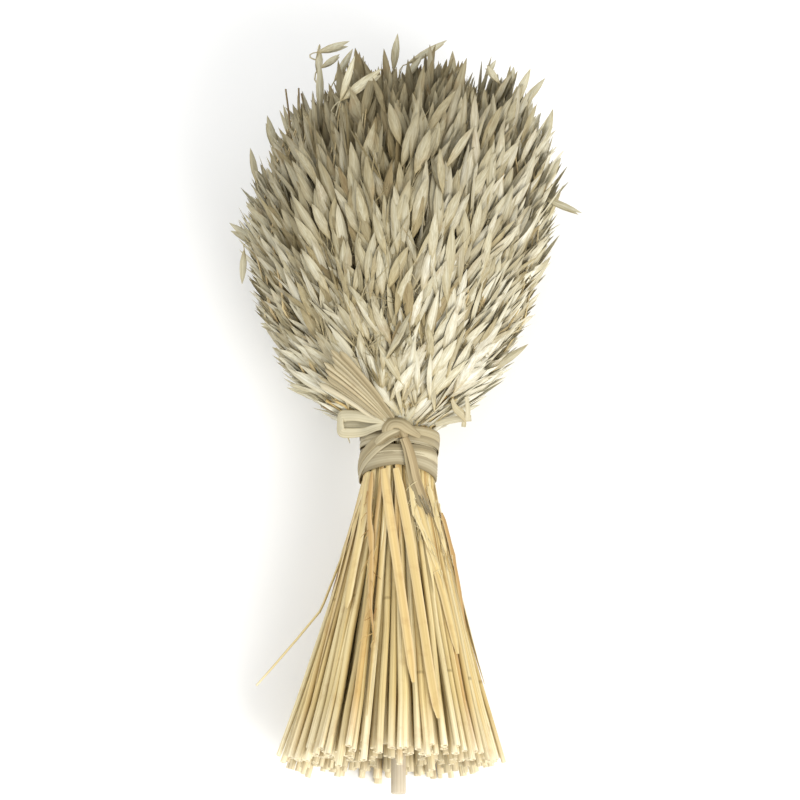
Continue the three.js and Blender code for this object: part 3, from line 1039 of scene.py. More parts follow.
@dataclass(frozen=True)
class BladeShape:
    """A flat strip of leaf of width 1, to be laid along a line. Sizes are in millimetres.

    Attributes:
        columns: faces across it.
        rows: faces along it.
        pleat: how deep its pleats are, as a share of its width.
        cup: how far its middle stands over its edges, as a share of its width.
        wall: its thickness as a share of its width.
        height: its height.
    """

    columns: int = 4
    rows: int = 12
    pleat: float = 0.0
    cup: float = 0.1
    wall: float = 0.06
    height: float = 20.0

    def pattern(self) -> Pattern:
        """Folds and cups a grid, and gives it a thickness.

        Returns:
            The strip, standing on its end, with its back to +Y.
        """
        piece = Workpiece(
            bpy.ops.mesh.primitive_grid_add,
            x_subdivisions=self.columns,
            y_subdivisions=self.rows,
            size=1.0,
            rotation=(math.pi / 2, 0.0, 0.0),
        )
        piece.pick(lambda at: True).move(z=0.5).stretch(z=self.height)
        for column in range(self.columns + 1):
            x = column / self.columns - 0.5
            rise = self.cup * (1 - 4 * x * x) + (self.pleat if column % 2 else 0.0)
            piece.pick(lambda at: abs(at.x - x) < 0.01).move(y=rise)
        piece.thicken(self.wall)
        shape = piece.cast()
        column = (shape.points[:, 0] + 0.5) * self.columns
        ridge = 0.5 - 0.5 * np.cos(math.pi * column)
        edge = np.abs(shape.points[:, 0]) * 2
        # Painted shade in the pleats' valleys; the very edges are a little darker.
        shade = 1 - (0.16 * (1 - ridge) if self.pleat else 0.0) - 0.12 * edge**4
        return shape.toned(shade, np.clip(0.25 * edge**3, 0, 1))


@dataclass(frozen=True)
class Spray:
    """One spikelet that hangs clear of the ears on a bare, curved stem, in the sheaf's frame.

    Attributes:
        node: the node that it grows from.
        tip: where its point is.
        heading: the way that it points.
        root: where its stem leaves the ears.
        kind: the kind of spikelet.
        scale: its size.
    """

    node: str
    tip: tuple[float, float, float]
    heading: tuple[float, float, float]
    root: tuple[float, float, float]
    kind: Spikelet = Spikelet.HALF_OPEN
    scale: float = 0.85


SPRAYS = (
    Spray("inner_stalks_03", (-1, 242, 24), (0.08, 1, 0.1), (-3, 196, 34), Spikelet.GAPING, 0.8),
    Spray("inner_stalks_02", (24, 234, 30), (0.86, 0.5, 0.05), (4, 205, 34), Spikelet.LONG, 0.85),
    Spray("inner_stalks_02", (14, 226, 36), (0.6, 0.8, 0.05), (6, 190, 36), Spikelet.SHUT, 0.8),
    Spray("middle_stalks_05", (-27.5, 235.5, 28), (0.95, 0.25, 0.05), (-45, 226, 26), Spikelet.GAPING, 0.75),
    Spray("middle_stalks_06", (-46, 213.5, 28), (-0.05, -0.98, 0.1), (-47, 226, 26), Spikelet.SHORT, 0.7),
    Spray("middle_stalks_06", (-45, 217.5, 34), (-0.02, 1, 0.1), (-45, 180, 34), Spikelet.LONG, 0.95),
    Spray("middle_stalks_05", (-31, 229.5, 30), (0.82, 0.55, 0.1), (-44, 210, 28), Spikelet.SHORT, 0.6),
    Spray("middle_stalks_05", (-26, 230.5, 32), (0.5, 0.86, 0.1), (-40, 200, 32), Spikelet.GAPING, 0.8),
    Spray("middle_stalks_04", (-20, 226, 34), (0.2, 0.95, 0.1), (-24, 192, 34), Spikelet.SHUT, 0.75),
    Spray("middle_stalks_04", (-8.5, 208, 66), (0.82, 0.56, 0.15), (-36, 184, 60), Spikelet.GAPING, 1.1),
    Spray("middle_stalks_04", (-26, 212, 66), (0.3, 0.94, 0.1), (-36, 178, 60), Spikelet.LONG, 0.85),
    Spray("middle_stalks_02", (57, 228, 26), (0.5, 0.8, 0.1), (46, 200, 26), Spikelet.SHORT, 0.5),
    Spray("middle_stalks_03", (48, 222.5, 34), (-0.6, 0.75, 0.1), (50, 196, 32), Spikelet.SHORT, 0.6),
    Spray("middle_stalks_02", (66, 225, 24), (0.12, 0.98, 0.1), (58, 190, 24), Spikelet.SHORT, 0.5),
    Spray("middle_stalks_01", (84, 218, 16), (0.62, 0.75, 0), (60, 184, 20), Spikelet.SHUT, 0.9),
    Spray("middle_stalks_01", (75, 219, 30), (0.4, 0.9, 0.05), (58, 180, 30), Spikelet.GAPING, 0.95),
    Spray("outer_stalks_12", (-76, 196, 12), (-0.3, 0.95, 0), (-66, 160, 14), Spikelet.GAPING),
    Spray("outer_stalks_12", (-85, 178, 10), (-0.2, 0.97, 0), (-74, 146, 12), Spikelet.SHUT, 0.8),
    Spray("outer_stalks_13", (-97.5, 134, 4), (-0.85, 0.5, 0.05), (-70, 112, 6), Spikelet.GAPING, 0.95),
    Spray("outer_stalks_12", (-89, 97, 14), (-0.05, -0.98, 0.1), (-76, 110, 10), Spikelet.SHUT, 0.8),
    Spray("outer_stalks_13", (-79, 75, 8), (-0.95, 0.25, 0.1), (-58, 66, 8), Spikelet.HALF_OPEN, 0.8),
    Spray("outer_stalks_13", (-62, 38.5, 8), (-0.97, 0.1, 0.1), (-30, 28, 8), Spikelet.GAPING, 0.9),
    Spray("outer_stalks_01", (101, 142, 6), (0.86, -0.42, 0.1), (66, 140, 8), Spikelet.LONG),
    Spray("outer_stalks_02", (93, 172, 12), (0.5, 0.85, 0.1), (74, 138, 12), Spikelet.SHUT, 0.9),
    Spray("outer_stalks_01", (88, 200, 12), (0.25, 0.97, 0), (78, 160, 12), Spikelet.GAPING, 0.95),
    Spray("outer_stalks_01", (70, 60, 10), (0.8, 0.55, 0.1), (44, 40, 10), Spikelet.LONG, 0.9),
)
#: Bare stems that stand out of the ears: their node, tip and foot in the sheaf's frame.
BARE_STEMS = (
    ("outer_stalks_11", (-64.5, 209.5, 24.0), (-61.0, 176.0, 26.0)),
    ("outer_stalks_11", (-57.0, 209.5, 26.0), (-57.0, 178.0, 28.0)),
    ("outer_stalks_11", (-55.5, 207.5, 22.0), (-51.0, 178.0, 26.0)),
)


@dataclass(frozen=True)
class LooseBlade:
    """A strip of dry leaf that lies over the straws below the tie. Sizes are in millimetres.

    Attributes:
        node: the node that it belongs to.
        path: its places in plan, and its distance over the straws.
        widths: shares of its length, and its width at each.
        hue: where it lies in the straws' range of colours.
        hairs: how many torn fibres stand off it.
    """

    node: str
    path: tuple[tuple[float, float, float], ...]
    widths: tuple[tuple[float, ...], tuple[float, ...]]
    hue: float
    hairs: int = 0


BROAD = ((0, 0.12, 0.8, 0.95, 1), (3.4, 5.2, 4.8, 4.0, 1.8))
RAGGED = ((0, 0.12, 0.27, 0.4, 0.52, 0.66, 0.8, 1), (1.6, 3.8, 2.4, 4.0, 2.2, 3.0, 1.6, 0.3))
BLADES = (
    LooseBlade(
        "outer_stalks_08",
        ((-8.3, -11, 1.6), (-5, -37, 1.9), (-0.3, -71, 1.9), (4.3, -105, 1.9), (8.3, -137, 1.7)),
        BROAD, 0.42,
    ),
    LooseBlade(
        "outer_stalks_07",
        ((-1.4, -11, 1.8), (5.4, -48, 2.2), (12.3, -94, 2.2), (18, -134, 2.1), (22, -157, 1.7)),
        BROAD, 0.58,
    ),
    LooseBlade(
        "outer_stalks_06",
        ((5.4, -12, 1.6), (15.2, -48, 1.8), (25, -83, 1.8), (33, -118, 1.6)),
        BROAD, 0.62,
    ),
    LooseBlade(
        "outer_stalks_09",
        ((-16.5, -11, 1.4), (-20, -40, 1.6), (-25, -68, 1.5), (-29, -92, 1.4)),
        BROAD, 0.66,
    ),
    LooseBlade(
        "outer_stalks_08",
        ((-15, -12, 2.2), (-16.5, -36, 2.8), (-15, -60, 2.6), (-15.6, -88, 2.6), (-13, -114, 2.0)),
        RAGGED, 0.26, 26,
    ),
    LooseBlade(
        "outer_stalks_06",
        ((7.0, -11, 2.2), (8.6, -34, 2.6), (15.5, -52, 2.8), (22, -72, 2.0)),
        RAGGED, 0.85, 26,
    ),
    LooseBlade(
        "outer_stalks_05",
        ((17, -20, 2.0), (23, -44, 2.4), (28, -62, 2.0)),
        RAGGED, 0.8, 16,
    ),
    LooseBlade(
        "outer_stalks_02",
        ((24.4, -34, 0.8), (29.6, -54, 1.0), (34, -77, 0.8), (38, -103, 0.6)),
        RAGGED, 0.1,
    ),
    LooseBlade(
        "outer_stalks_12",
        ((-19, -18, 0.4), (-23, -36, 1.6), (-27.5, -52, 0.4)),
        RAGGED, 0.6,
    ),
)


@dataclass(frozen=True)
class Cell:
    """The part of the sheaf that one node of three stalks keeps to.

    Attributes:
        name: the node's name.
        ring: 0 for the innermost ring, 2 for the outermost.
        azimuth: the middle of the cell.
        half_azimuth: half of its width.
        share: how far out its middle is.
        half_share: half of its depth.
    """

    name: str
    ring: int
    azimuth: float
    half_azimuth: float
    share: float
    half_share: float


@dataclass
class Stalks:
    """All the stalks of the sheaf: straws, stems and ears.

    Attributes:
        axes: the sheaf's frame.
        outline: how far out the stalks reach.
        rest: the surface that the sheaf lies on.
        rings: the number of nodes in each ring, from the middle outwards.
        stick_radius: the radius of the stick in their middle, with the gap round it.
        extra: how many thin straws fill the gaps between a node's three, by ring.
        flare: how much further apart the cut ends lie than the solid ones.
        braids: how many ears lie side by side on a node.
        crowding: spikelets to a thousand square millimetres of the ears' surface, by ring.
        bands: the stations of the surface that each ring's ears cover.
        stand: how far the spikelets stand off the sheaf's front and back, as a slope.
        straw_points: how many of a stalk's points belong to its straw.
        straw_radii: shares of a straw's length, and its radius at each.
        cut_reach: how far the corners of one solid cut end can lie from its middle.
        spikelet: the length that a spikelet's foot lies behind its tip.
        neck: the station below which only slim spikelets grow.
        bare_neck: how far over the tie no twig shows.
        brown: the share of the straws by the floor that have gone brown.
        waisting: how far the straws of the fan bow in towards the axis, as a share of their place.
        loose_ends: where the tie's loose ends lie in plan, each with its half width.
    """

    axes: SheafAxes
    outline: Outline
    rest: Rest
    rings: tuple[int, int, int] = (8, 16, 24)
    stick_radius: float = 4.6
    extra: tuple[int, int, int] = (0, 1, 3)
    flare: float = 1.06
    braids: int = 3
    crowding: tuple[float, float, float] = (44.0, 40.0, 46.0)
    bands: tuple[tuple[float, float], ...] = ((204.0, 236.5), (186.0, 228.0), (21.0, 204.0))
    stand: float = 0.13
    straw_points: int = 9
    straw_radii: tuple[tuple[float, ...], ...] = ((0, 0.35, 0.75, 1), (1.74, 1.7, 1.1, 0.86))
    cut_reach: float = 3.4
    spikelet: float = 28.0
    neck: float = 48.0
    bare_neck: float = 32.0
    brown: float = 0.07
    waisting: float = 0.965
    loose_ends: tuple = (
        (((-3, 15), (-42, 45)), 11.0),
        (((-4, 15), (-34, 15)), 9.0),
        (((24, 18), (40, 20)), 7.0),
    )
    patterns: dict[Spikelet, Pattern] = field(default_factory=dict)
    straws: list[Pattern] = field(default_factory=list)
    stem: Pattern | None = None
    twig: Pattern | None = None
    sheath: Pattern | None = None

    def cells(self) -> list[Cell]:
        """The cells of all the nodes, which follow the solid stalks."""
        depth = (self.outline.waist - self.stick_radius) / len(self.rings)
        found = []
        for ring, count in enumerate(self.rings):
            label = ("inner", "middle", "outer")[ring]
            share = (self.stick_radius + depth * (ring + 0.5)) / self.outline.waist
            half_share = depth / 2 / self.outline.waist
            for index in range(count):
                azimuth = (index + 0.5 * (ring % 2)) / count * 2 * math.pi
                name = f"{label}_stalks_{index + 1:02d}"
                found.append(Cell(name, ring, azimuth, math.pi / count, share, half_share))
        return found

    def build(self, nodes: dict[str, bpy.types.Object], effects: Effects) -> None:
        """Makes every node's straws and ears.

        Args:
            nodes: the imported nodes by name.
            effects: the shared effects.
        """
        husk, straw = HUSK.material(effects), STRAW.material(effects)
        self.patterns = {kind: kind.pattern() for kind in Spikelet}
        self.straws = [
            StrawShape(jointed=False).pattern(),
            *(StrawShape(joint=joint).pattern() for joint in (18.0, 35.0, 53.0)),
        ]
        self.stem, self.twig = StemShape().pattern(), StemShape(sides=3, loops=2).pattern()
        self.sheath = BladeShape(columns=4, rows=10, cup=0.22, wall=0.05).pattern()
        total = 0
        for cell in self.cells():
            rng = np.random.default_rng([SEED, *cell.name.encode()])
            straws = Batch(self.axes, self.rest, rng)
            lines = self._lines(cell, self._cut_ends(nodes[cell.name]), rng)
            self._add_straws(straws, cell, lines, rng)
            ears = Batch(self.axes, self.rest, rng)
            total += self._add_ears(ears, cell, lines[:3], rng)
            for spray in SPRAYS:
                if spray.node == cell.name:
                    self._add_spray(ears, spray)
            for node, tip, foot in BARE_STEMS:
                if node == cell.name:
                    self._add_bare_stem(ears, np.array(tip), np.array(foot))
            for blade in BLADES:
                if blade.node == cell.name:
                    self._add_blade(straws, blade, rng)
            fasten(straws.piece(f"{cell.name}_straws", straw), cell.name)
            fasten(ears.piece(f"{cell.name}_ears", husk), cell.name)
        LOG.info("stalks: %d nodes, %d spikelets", sum(self.rings), total)

    def _cut_ends(self, node: bpy.types.Object) -> np.ndarray:
        """The middles of a solid node's three cut ends, in the sheaf's frame."""
        points = self.axes.into(mesh_points(node))
        low = points[points[:, 1] < self.outline.cut + 8]
        middles: list[list[np.ndarray]] = []
        for point in low:
            near = [m for m in middles if np.linalg.norm(np.mean(m, 0) - point) < self.cut_reach]
            if near:
                near[0].append(point)
            else:
                middles.append([point])
        spans = [np.array(m) for m in middles]
        return np.array([(s.min(0) + s.max(0)) / 2 for s in spans])[:3]

    def _all_cuts(self, cell: Cell, cuts: np.ndarray, rng: np.random.Generator) -> np.ndarray:
        """The solid straws' cut ends and those of the thin straws in the gaps between them."""
        found = list(cuts)
        for _ in range(self.extra[cell.ring]):
            share = cell.share + cell.half_share * rng.uniform(-0.8, 0.95, 16)
            azimuth = cell.azimuth + cell.half_azimuth * rng.uniform(-1.0, 1.0, 16)
            station = self.outline.cut + rng.uniform(-3.0, 3.0, 16)
            spots = self.outline.place(share, azimuth, station)
            gaps = np.linalg.norm(spots[:, None] - np.array(found)[None], axis=2).min(1)
            found.append(spots[gaps.argmax()])
        cuts = np.array(found) * (self.flare, 1.0, 1.0)
        cuts[:, 1] += rng.normal(0, 1.2, len(cuts)) - 5.0 * (rng.uniform(size=len(cuts)) < 0.05)
        return cuts

    def _lines(self, cell: Cell, cuts: np.ndarray, rng: np.random.Generator) -> np.ndarray:
        """Each stalk's line from its cut end to the end of its ear, (stalks, points, 3)."""
        cuts = self._all_cuts(cell, cuts, rng)
        count = len(cuts)
        azimuths = np.arctan2(cuts[:, 2], cuts[:, 0])
        turns = (azimuths - cell.azimuth + math.pi) % (2 * math.pi) - math.pi
        turns = np.clip(turns / cell.half_azimuth, -0.7, 0.7)
        shares = np.concatenate(((-0.5, 0.45, 0.45), rng.uniform(-0.9, 0.1, count)))[:count]
        top = self.bands[cell.ring][1] - rng.uniform(8, 22, count)
        straws = []
        for stalk in range(count):
            stations = np.concatenate(([-16.0, 0.0, 16.0, 30.0], np.linspace(52, top[stalk], 7)))
            narrow = np.interp(stations, (-16, 30, 120), (0.6, 0.62, 0.42))
            share = cell.share + narrow * cell.half_share * shares[stalk]
            azimuth = cell.azimuth + narrow * cell.half_azimuth * turns[stalk]
            upper = self.outline.place(share, azimuth, stations)
            loose = np.interp(stations, (16, 60), (0, 1))[:, None]
            upper += loose * rng.normal(0, 1.3, (len(stations), 3))
            lower = np.linspace(cuts[stalk], upper[0], 6)[:-1]
            bow = np.array((0.0, 0.7, 1.0, 0.9, 0.5))[:, None] * (self.waisting - 1.0)
            lower += lower * (1.0, 0.0, 1.0) * bow
            lower[1:] += rng.normal(0, 0.45, (len(lower) - 1, 3))
            straws.append(np.concatenate((lower, upper)))
        return np.array(straws)

    def _add_straws(
        self, batch: Batch, cell: Cell, lines: np.ndarray, rng: np.random.Generator
    ) -> None:
        """Adds a node's hollow straws, the stems of its ears and the loose sheaths on the straws.

        Args:
            batch: what they are added to.
            cell: the node's cell.
            lines: its stalks' lines, first the three solid ones and then the thin ones.
            rng: where the chances come from.
        """
        count = len(lines)
        facing = unit(np.tile(outward(cell.azimuth), (count, 1)) + rng.normal(0, 0.22, (count, 3)))
        full, thin = rng.uniform(1.0, 1.3, count), rng.uniform(0.75, 1.1, count)
        thick = np.where(np.arange(count) < 3, full, thin)
        flat = rng.uniform(0.75, 1.0, count)
        hue = np.clip(rng.normal(0.7, 0.15, count), 0, 1)
        # Straws of the inner rings are darker: painted shade deeper in the bundle.
        light = rng.uniform(0.9, 1.0, count) - 0.08 * (2 - cell.ring)
        brown = (rng.uniform(size=count) < self.brown) & (math.sin(cell.azimuth) < 0.2)
        hue, light = np.where(brown, 0.05, hue), np.where(brown, 0.8, light)
        tones = Tones(hue, light)
        kinds = rng.choice(len(self.straws), count, p=(0.79, 0.07, 0.07, 0.07))
        for kind, pattern in enumerate(self.straws):
            mine = kinds == kind
            if not mine.any():
                continue
            spines = Spines(lines[mine, : self.straw_points], facing[mine])
            oval = np.sqrt(flat[mine, None])
            width = taper(*self.straw_radii, thick[mine, None] / oval)
            bulge = taper(*self.straw_radii, thick[mine, None] * oval)
            batch.add(pattern, spines.lay(pattern, width, bulge), tones.of(mine))
        spines = Spines(lines[:3, self.straw_points - 2 :], facing[:3])
        stems = spines.lay(self.stem, taper((0, 1), (0.95, 0.35)))
        batch.add(self.stem, stems, Tones(hue[:3], 0.8 * tones.light[:3], 0.3))
        if cell.ring == 2:
            self._add_sheaths(batch, cell, lines, rng)

    def _add_sheaths(
        self, batch: Batch, cell: Cell, lines: np.ndarray, rng: np.random.Generator
    ) -> None:
        """Adds the dry leaf sheaths that cling to the outer straws below the tie.

        Args:
            batch: what they are added to.
            cell: the node's cell.
            lines: its stalks' lines.
            rng: where the chances come from.
        """
        out = outward(cell.azimuth)
        for number in range(8):
            line = lines[rng.integers(1, len(lines))]
            broad = number < 2 and rng.uniform() < 0.6
            length = rng.uniform(0.5, 0.9) if broad else rng.uniform(0.15, 0.5)
            top = 1.0 if broad else rng.uniform(0.78, 1.0)
            spine = Spines(line[None, :7], out[None])
            along = np.linspace(max(top - length, 0.04), top, 8)
            points = spine.at(along)
            loose = 0.8 if broad else rng.uniform(0, 3.0)
            lift = rng.uniform(1.0, 1.7) + loose * np.linspace(1, 0, 8) ** 3
            points = points + out * lift[None, :, None]
            sheath = Spines(points[:, ::-1], unit(out + rng.normal(0, 0.2, 3))[None])
            wide = rng.uniform(3.4, 5.4) if broad else rng.uniform(0.9, 2.2)
            ends = (0.6, 1, 0.85, 0.12) if broad else (0.7, 1, 0.8, 0.05)
            hue = rng.normal(0.56, 0.1) if broad else rng.normal(0.6, 0.2)
            tones = Tones.single(float(np.clip(hue, 0, 1)), rng.uniform(0.9, 1.0))
            width = taper((0, 0.15, 0.75, 1), ends, wide)
            batch.add(self.sheath, sheath.lay(self.sheath, width), tones)

    def _add_blade(self, batch: Batch, blade: LooseBlade, rng: np.random.Generator) -> None:
        """Adds a strip of leaf that lies over the straws, with its torn fibres.

        Args:
            batch: what it is added to.
            blade: the strip.
            rng: where the chances come from.
        """
        points = self.outline.drape(list(blade.path))
        points[:, 2] -= 0.9
        facing = unit(unit(points * (1.0, 0.0, 1.0)) + (0.0, 0.0, 0.7))
        spines = Spines(points[None], facing[None])
        width, bulge = taper(*blade.widths), taper(*blade.widths, 0.45)
        batch.add(self.sheath, spines.lay(self.sheath, width, bulge), Tones.single(blade.hue, 0.97))
        if not blade.hairs:
            return
        along = rng.uniform(0.1, 1.0, blade.hairs)
        root = spines.at(along)[0]
        aside, up = rng.normal(0, 0.45, blade.hairs), rng.uniform(0, 0.3, blade.hairs)
        way = np.stack((aside, -np.ones(blade.hairs), up), -1)
        reach = rng.uniform(4.0, 12.0, (blade.hairs, 1))
        side = rng.normal(0, 1.6, (blade.hairs, 1)) * (1.0, 0.0, 0.0)
        first, end = root + side, root + side * 0.6 + unit(way) * reach
        middle = 0.5 * (first + end) + rng.normal(0, 0.8, (blade.hairs, 3)) + (0.0, 0.0, 0.5)
        hairs = Spines(np.stack((first, middle, end), 1), np.tile(UP, (blade.hairs, 1)))
        hue = np.clip(blade.hue + rng.normal(0.1, 0.2, blade.hairs), 0, 1)
        laid = hairs.lay(self.twig, taper((0, 1), (0.34, 0.12)))
        batch.add(self.twig, laid, Tones(hue, np.full(blade.hairs, 0.98)))

    def _add_bare_stem(self, batch: Batch, tip: np.ndarray, foot: np.ndarray) -> None:
        """Adds a dark stem that has lost its spikelet."""
        line = np.stack((foot, 0.5 * (foot + tip) + (0.4, 0.0, 0.0), tip))
        laid = Spines(line[None], UP[None]).lay(self.stem, taper((0, 1), (0.6, 0.5)))
        batch.add(self.stem, laid, Tones.single(0.05, 0.7))

    def _under_tie(self, plan: np.ndarray) -> np.ndarray:
        """Whether places in plan lie under one of the tie's loose ends.

        Args:
            plan: the places, (places, 2), in the sheaf's frame.

        Returns:
            A truth for each place.
        """
        covered = np.zeros(len(plan), dtype=bool)
        for ends, reach in self.loose_ends:
            start, end = np.array(ends, dtype=float)
            way = end - start
            share = np.clip((plan - start) @ way / (way @ way), 0, 1)
            covered |= np.linalg.norm(plan - start - share[:, None] * way, axis=1) < reach
        return covered

    def _spots(self, cell: Cell, rng: np.random.Generator) -> tuple[np.ndarray, ...]:
        """Where a node's spikelets have their tips.

        Args:
            cell: the node's cell.
            rng: where the chances come from.

        Returns:
            Their stations, azimuths, the ears that they belong to, and those ears' proudness.
        """
        stations = np.linspace(*self.bands[cell.ring], 160)
        ring = self.outline.place(1.0, cell.azimuth, stations)
        steps = np.linalg.norm(np.diff(ring, axis=0), axis=1)
        radii = np.hypot(ring[:, 0], ring[:, 2])
        area = steps * (radii[1:] + radii[:-1]) * cell.half_azimuth
        count = max(int(area.sum() * self.crowding[cell.ring] / 1000), 14)
        order = (np.arange(count) + rng.uniform(0.1, 0.9, count)) / count
        covered = np.concatenate(([0], np.cumsum(area))) / area.sum()
        station = np.interp(order, covered, stations)
        braid = rng.permutation(count) % self.braids
        phase, proud = rng.uniform(0, 6.3, self.braids), rng.normal(0, 2.8, self.braids)
        wander = 0.2 * np.sin(station / 24 + phase[braid])
        side = (braid + 0.5) / self.braids * 2 - 1 + wander + rng.normal(0, 0.13, count)
        return station, cell.azimuth + 1.05 * cell.half_azimuth * side, braid, proud

    def _add_ears(self, batch: Batch, cell: Cell, lines: np.ndarray, rng: np.random.Generator) -> int:
        """Adds a node's spikelets with the thin stems that they hang on.

        Args:
            batch: what they are added to.
            cell: the node's cell.
            lines: its stalks' lines.
            rng: where the chances come from.

        Returns:
            How many spikelets there are.
        """
        station, azimuth, braid, proud = self._spots(cell, rng)
        count = len(station)
        surface = self.outline.place(1.0, azimuth, station)
        ahead = self.outline.place(1.0, azimuth, station + 1.0)
        up = (station - self.outline.tie_half) / self.outline.head_length
        centre = np.array((0.0, self.outline.tie_half - 4, 0.0))
        away = unit(surface - centre)
        reach = np.linalg.norm(surface - centre, axis=1)
        side = np.sign(surface[:, 2])
        slope = side * np.clip(side * (ahead - surface)[:, 2], -0.15, 0.8)
        slope = slope + self.stand * np.sin(azimuth)
        flat = away * (1.0, 1.12, 0.0)
        flat[:, 2] = flat[:, 1] * slope
        layer = rng.choice(3, count, p=(0.38, 0.33, 0.29))
        depth = self._depths(surface, station, layer, proud[braid], rng)
        hidden = self._under_tie((surface - 13 * unit(flat))[:, :2]) & (surface[:, 2] > 0)
        hidden |= self._under_tie(surface[:, :2]) & (surface[:, 2] > 0)
        depth = np.where(hidden, np.maximum(depth, 1.0) + 6.5, depth)
        bare = (np.abs(surface[:, 0] - 15) < 11) & (station < 44) & (surface[:, 2] > 0)
        depth = np.where(bare, np.maximum(depth, 1.0) + rng.uniform(5, 30, count), depth)
        tip = centre + away * np.maximum(reach - np.maximum(depth, -7), 20)[:, None]
        round_about = np.stack((-np.sin(azimuth), np.zeros(count), np.cos(azimuth)), -1)
        lean = rng.choice((-1, 1), count) * rng.uniform(0.02, 0.3, count)
        heading = unit(flat + round_about * lean[:, None] + rng.normal(0, 0.06, (count, 3)))
        scale = rng.uniform(0.9, 1.22, count) * np.interp(station, (24, 60), (0.8, 1.0))
        foot = tip - heading * (self.spikelet * scale)[:, None]
        normal = unit(unit(surface * (1.0, 0.0, 1.0)) + rng.normal(0, 0.45, (count, 3)))
        across = unit(np.cross(heading, normal))
        back = np.cross(across, heading)
        kinds = list(Spikelet)
        which = rng.choice(len(kinds), count, p=(0.17, 0.24, 0.21, 0.14, 0.07, 0.07, 0.05, 0.05))
        narrow = (Spikelet.SHUT, Spikelet.LONG, Spikelet.TORN)
        slim = rng.choice([kinds.index(kind) for kind in narrow], count)
        which = np.where(station < self.neck, slim, which)
        tones = self._ear_tones(surface, layer, rng.normal(0, 0.06, self.braids)[braid], rng)
        for number, kind in enumerate(kinds):
            mine = which == number
            if not mine.any():
                continue
            points = self.patterns[kind].points
            frame = np.stack((across[mine], back[mine], heading[mine]), 1) * scale[mine, None, None]
            batch.add(self.patterns[kind], foot[mine, None] + points @ frame, tones.of(mine))
        self._add_twigs(batch, lines, foot, heading, tones, rng)
        return count

    def _depths(
        self,
        surface: np.ndarray,
        station: np.ndarray,
        layer: np.ndarray,
        proud: np.ndarray,
        rng: np.random.Generator,
    ) -> np.ndarray:
        """How far each spikelet's tip lies under the ears' outline.

        Args:
            surface: the outline's places over them.
            station: their stations.
            layer: 0 for the spikelets on top, 2 for the deepest.
            proud: how far each one's ear stands out.
            rng: where the chances come from.

        Returns:
            The depths in millimetres.
        """
        count, x = len(station), surface[:, 0]
        loose = np.interp(station, (136, 236), (0.0, 1.0))
        waisted = 7.0 * np.exp(-(((station - 82) / 40) ** 2)) + np.interp(x, (-60, 0, 40), (5, 1, 0))
        waisted += 9.0 * np.interp(x, (10, 50), (0, 1)) * np.exp(-(((station - 108) / 48) ** 2))
        waisted += 5.0 * np.interp(x, (-50, -10), (1, 0)) * np.exp(-(((station - 90) / 30) ** 2))
        over = np.interp(station, (190, 226), (0, 1))
        shoulder = over * (6.0 * np.exp(-(((x - 36) / 20) ** 2)) + 3.0 * np.sin(x / 7.5 + 1.2))
        rough = rng.normal(1.0 + 9 * loose, 2.2 + 2.6 * loose, count)
        top = waisted + shoulder + rough - (1 + loose) * proud
        under = rng.uniform(6, 13, count) + 9 * loose + 0.5 * waisted
        return np.choose(layer, (top, under, rng.uniform(13, 26, count) + 9 * loose))

    def _add_twigs(
        self,
        batch: Batch,
        lines: np.ndarray,
        foot: np.ndarray,
        heading: np.ndarray,
        tones: Tones,
        rng: np.random.Generator,
    ) -> None:
        """Adds the thin stem that joins each spikelet to the nearest stalk of its node."""
        upper = lines[:, self.straw_points - 1 :].reshape(-1, 3)
        held = foot[:, 1] > self.outline.tie_half + self.bare_neck
        foot, heading, tones = foot[held], heading[held], tones.of(held)
        count = len(foot)
        wanted = foot - (0.0, 14.0, 0.0)
        near = np.linalg.norm(upper[None] - wanted[:, None], axis=2).argmin(1)
        root = upper[near] + rng.normal(0, 0.8, (count, 3))
        first = foot - heading * 7.0 + rng.normal(0, 1.0, (count, 3))
        points = np.stack((root, 0.45 * root + 0.55 * first, first, foot + heading * 0.6), 1)
        spines = Spines(points, unit(rng.normal(0, 1, (count, 3))))
        laid = spines.lay(self.twig, taper((0, 1), (0.34, 0.3)))
        batch.add(self.twig, laid, Tones(tones.hue, tones.light, 0.75))

    def _add_spray(self, batch: Batch, spray: Spray) -> None:
        """Adds a spikelet that hangs clear, with its stem."""
        pattern = self.patterns[spray.kind]
        tip, heading, root = np.array(spray.tip), unit(np.array(spray.heading)), np.array(spray.root)
        foot = tip - heading * 27.5 * spray.scale
        across = unit(np.cross(heading, (0.15, 0.1, 1.0)))
        frame = np.stack((across, np.cross(across, heading), heading)) * spray.scale
        tones = Tones.single(0.55, 0.9)
        batch.add(pattern, (foot + pattern.points @ frame)[None], tones)
        bend = 0.5 * root + 0.5 * (foot - 8 * heading)
        points = np.array([[root, bend, foot - 3 * heading, foot + heading]])
        laid = Spines(points, UP[None]).lay(self.stem, taper((0, 1), (0.55, 0.3)))
        batch.add(self.stem, laid, Tones.single(0.5, 0.95, 0.6))

    def _ear_tones(
        self, surface: np.ndarray, layer: np.ndarray, shift: np.ndarray, rng: np.random.Generator
    ) -> Tones:
        """The spikelets' colours: paler by the tie and browner over the top, partly their own colour and
        partly painted shade; painted light at the sides, painted shade on the left and warm painted shade on
        the deeper layers.

        Args:
            surface: the outline's places over them.
            layer: 0 for the spikelets on top, 2 for the deepest.
            shift: how much paler each one's ear is.
            rng: where the chances come from.

        Returns:
            Their colours.
        """
        count = len(surface)
        up = (surface[:, 1] - self.outline.tie_half) / self.outline.head_length
        left = -surface[:, 0] / self.outline.head[1]
        side = np.abs(left)
        hue = rng.normal(0.84, 0.14, count) + shift
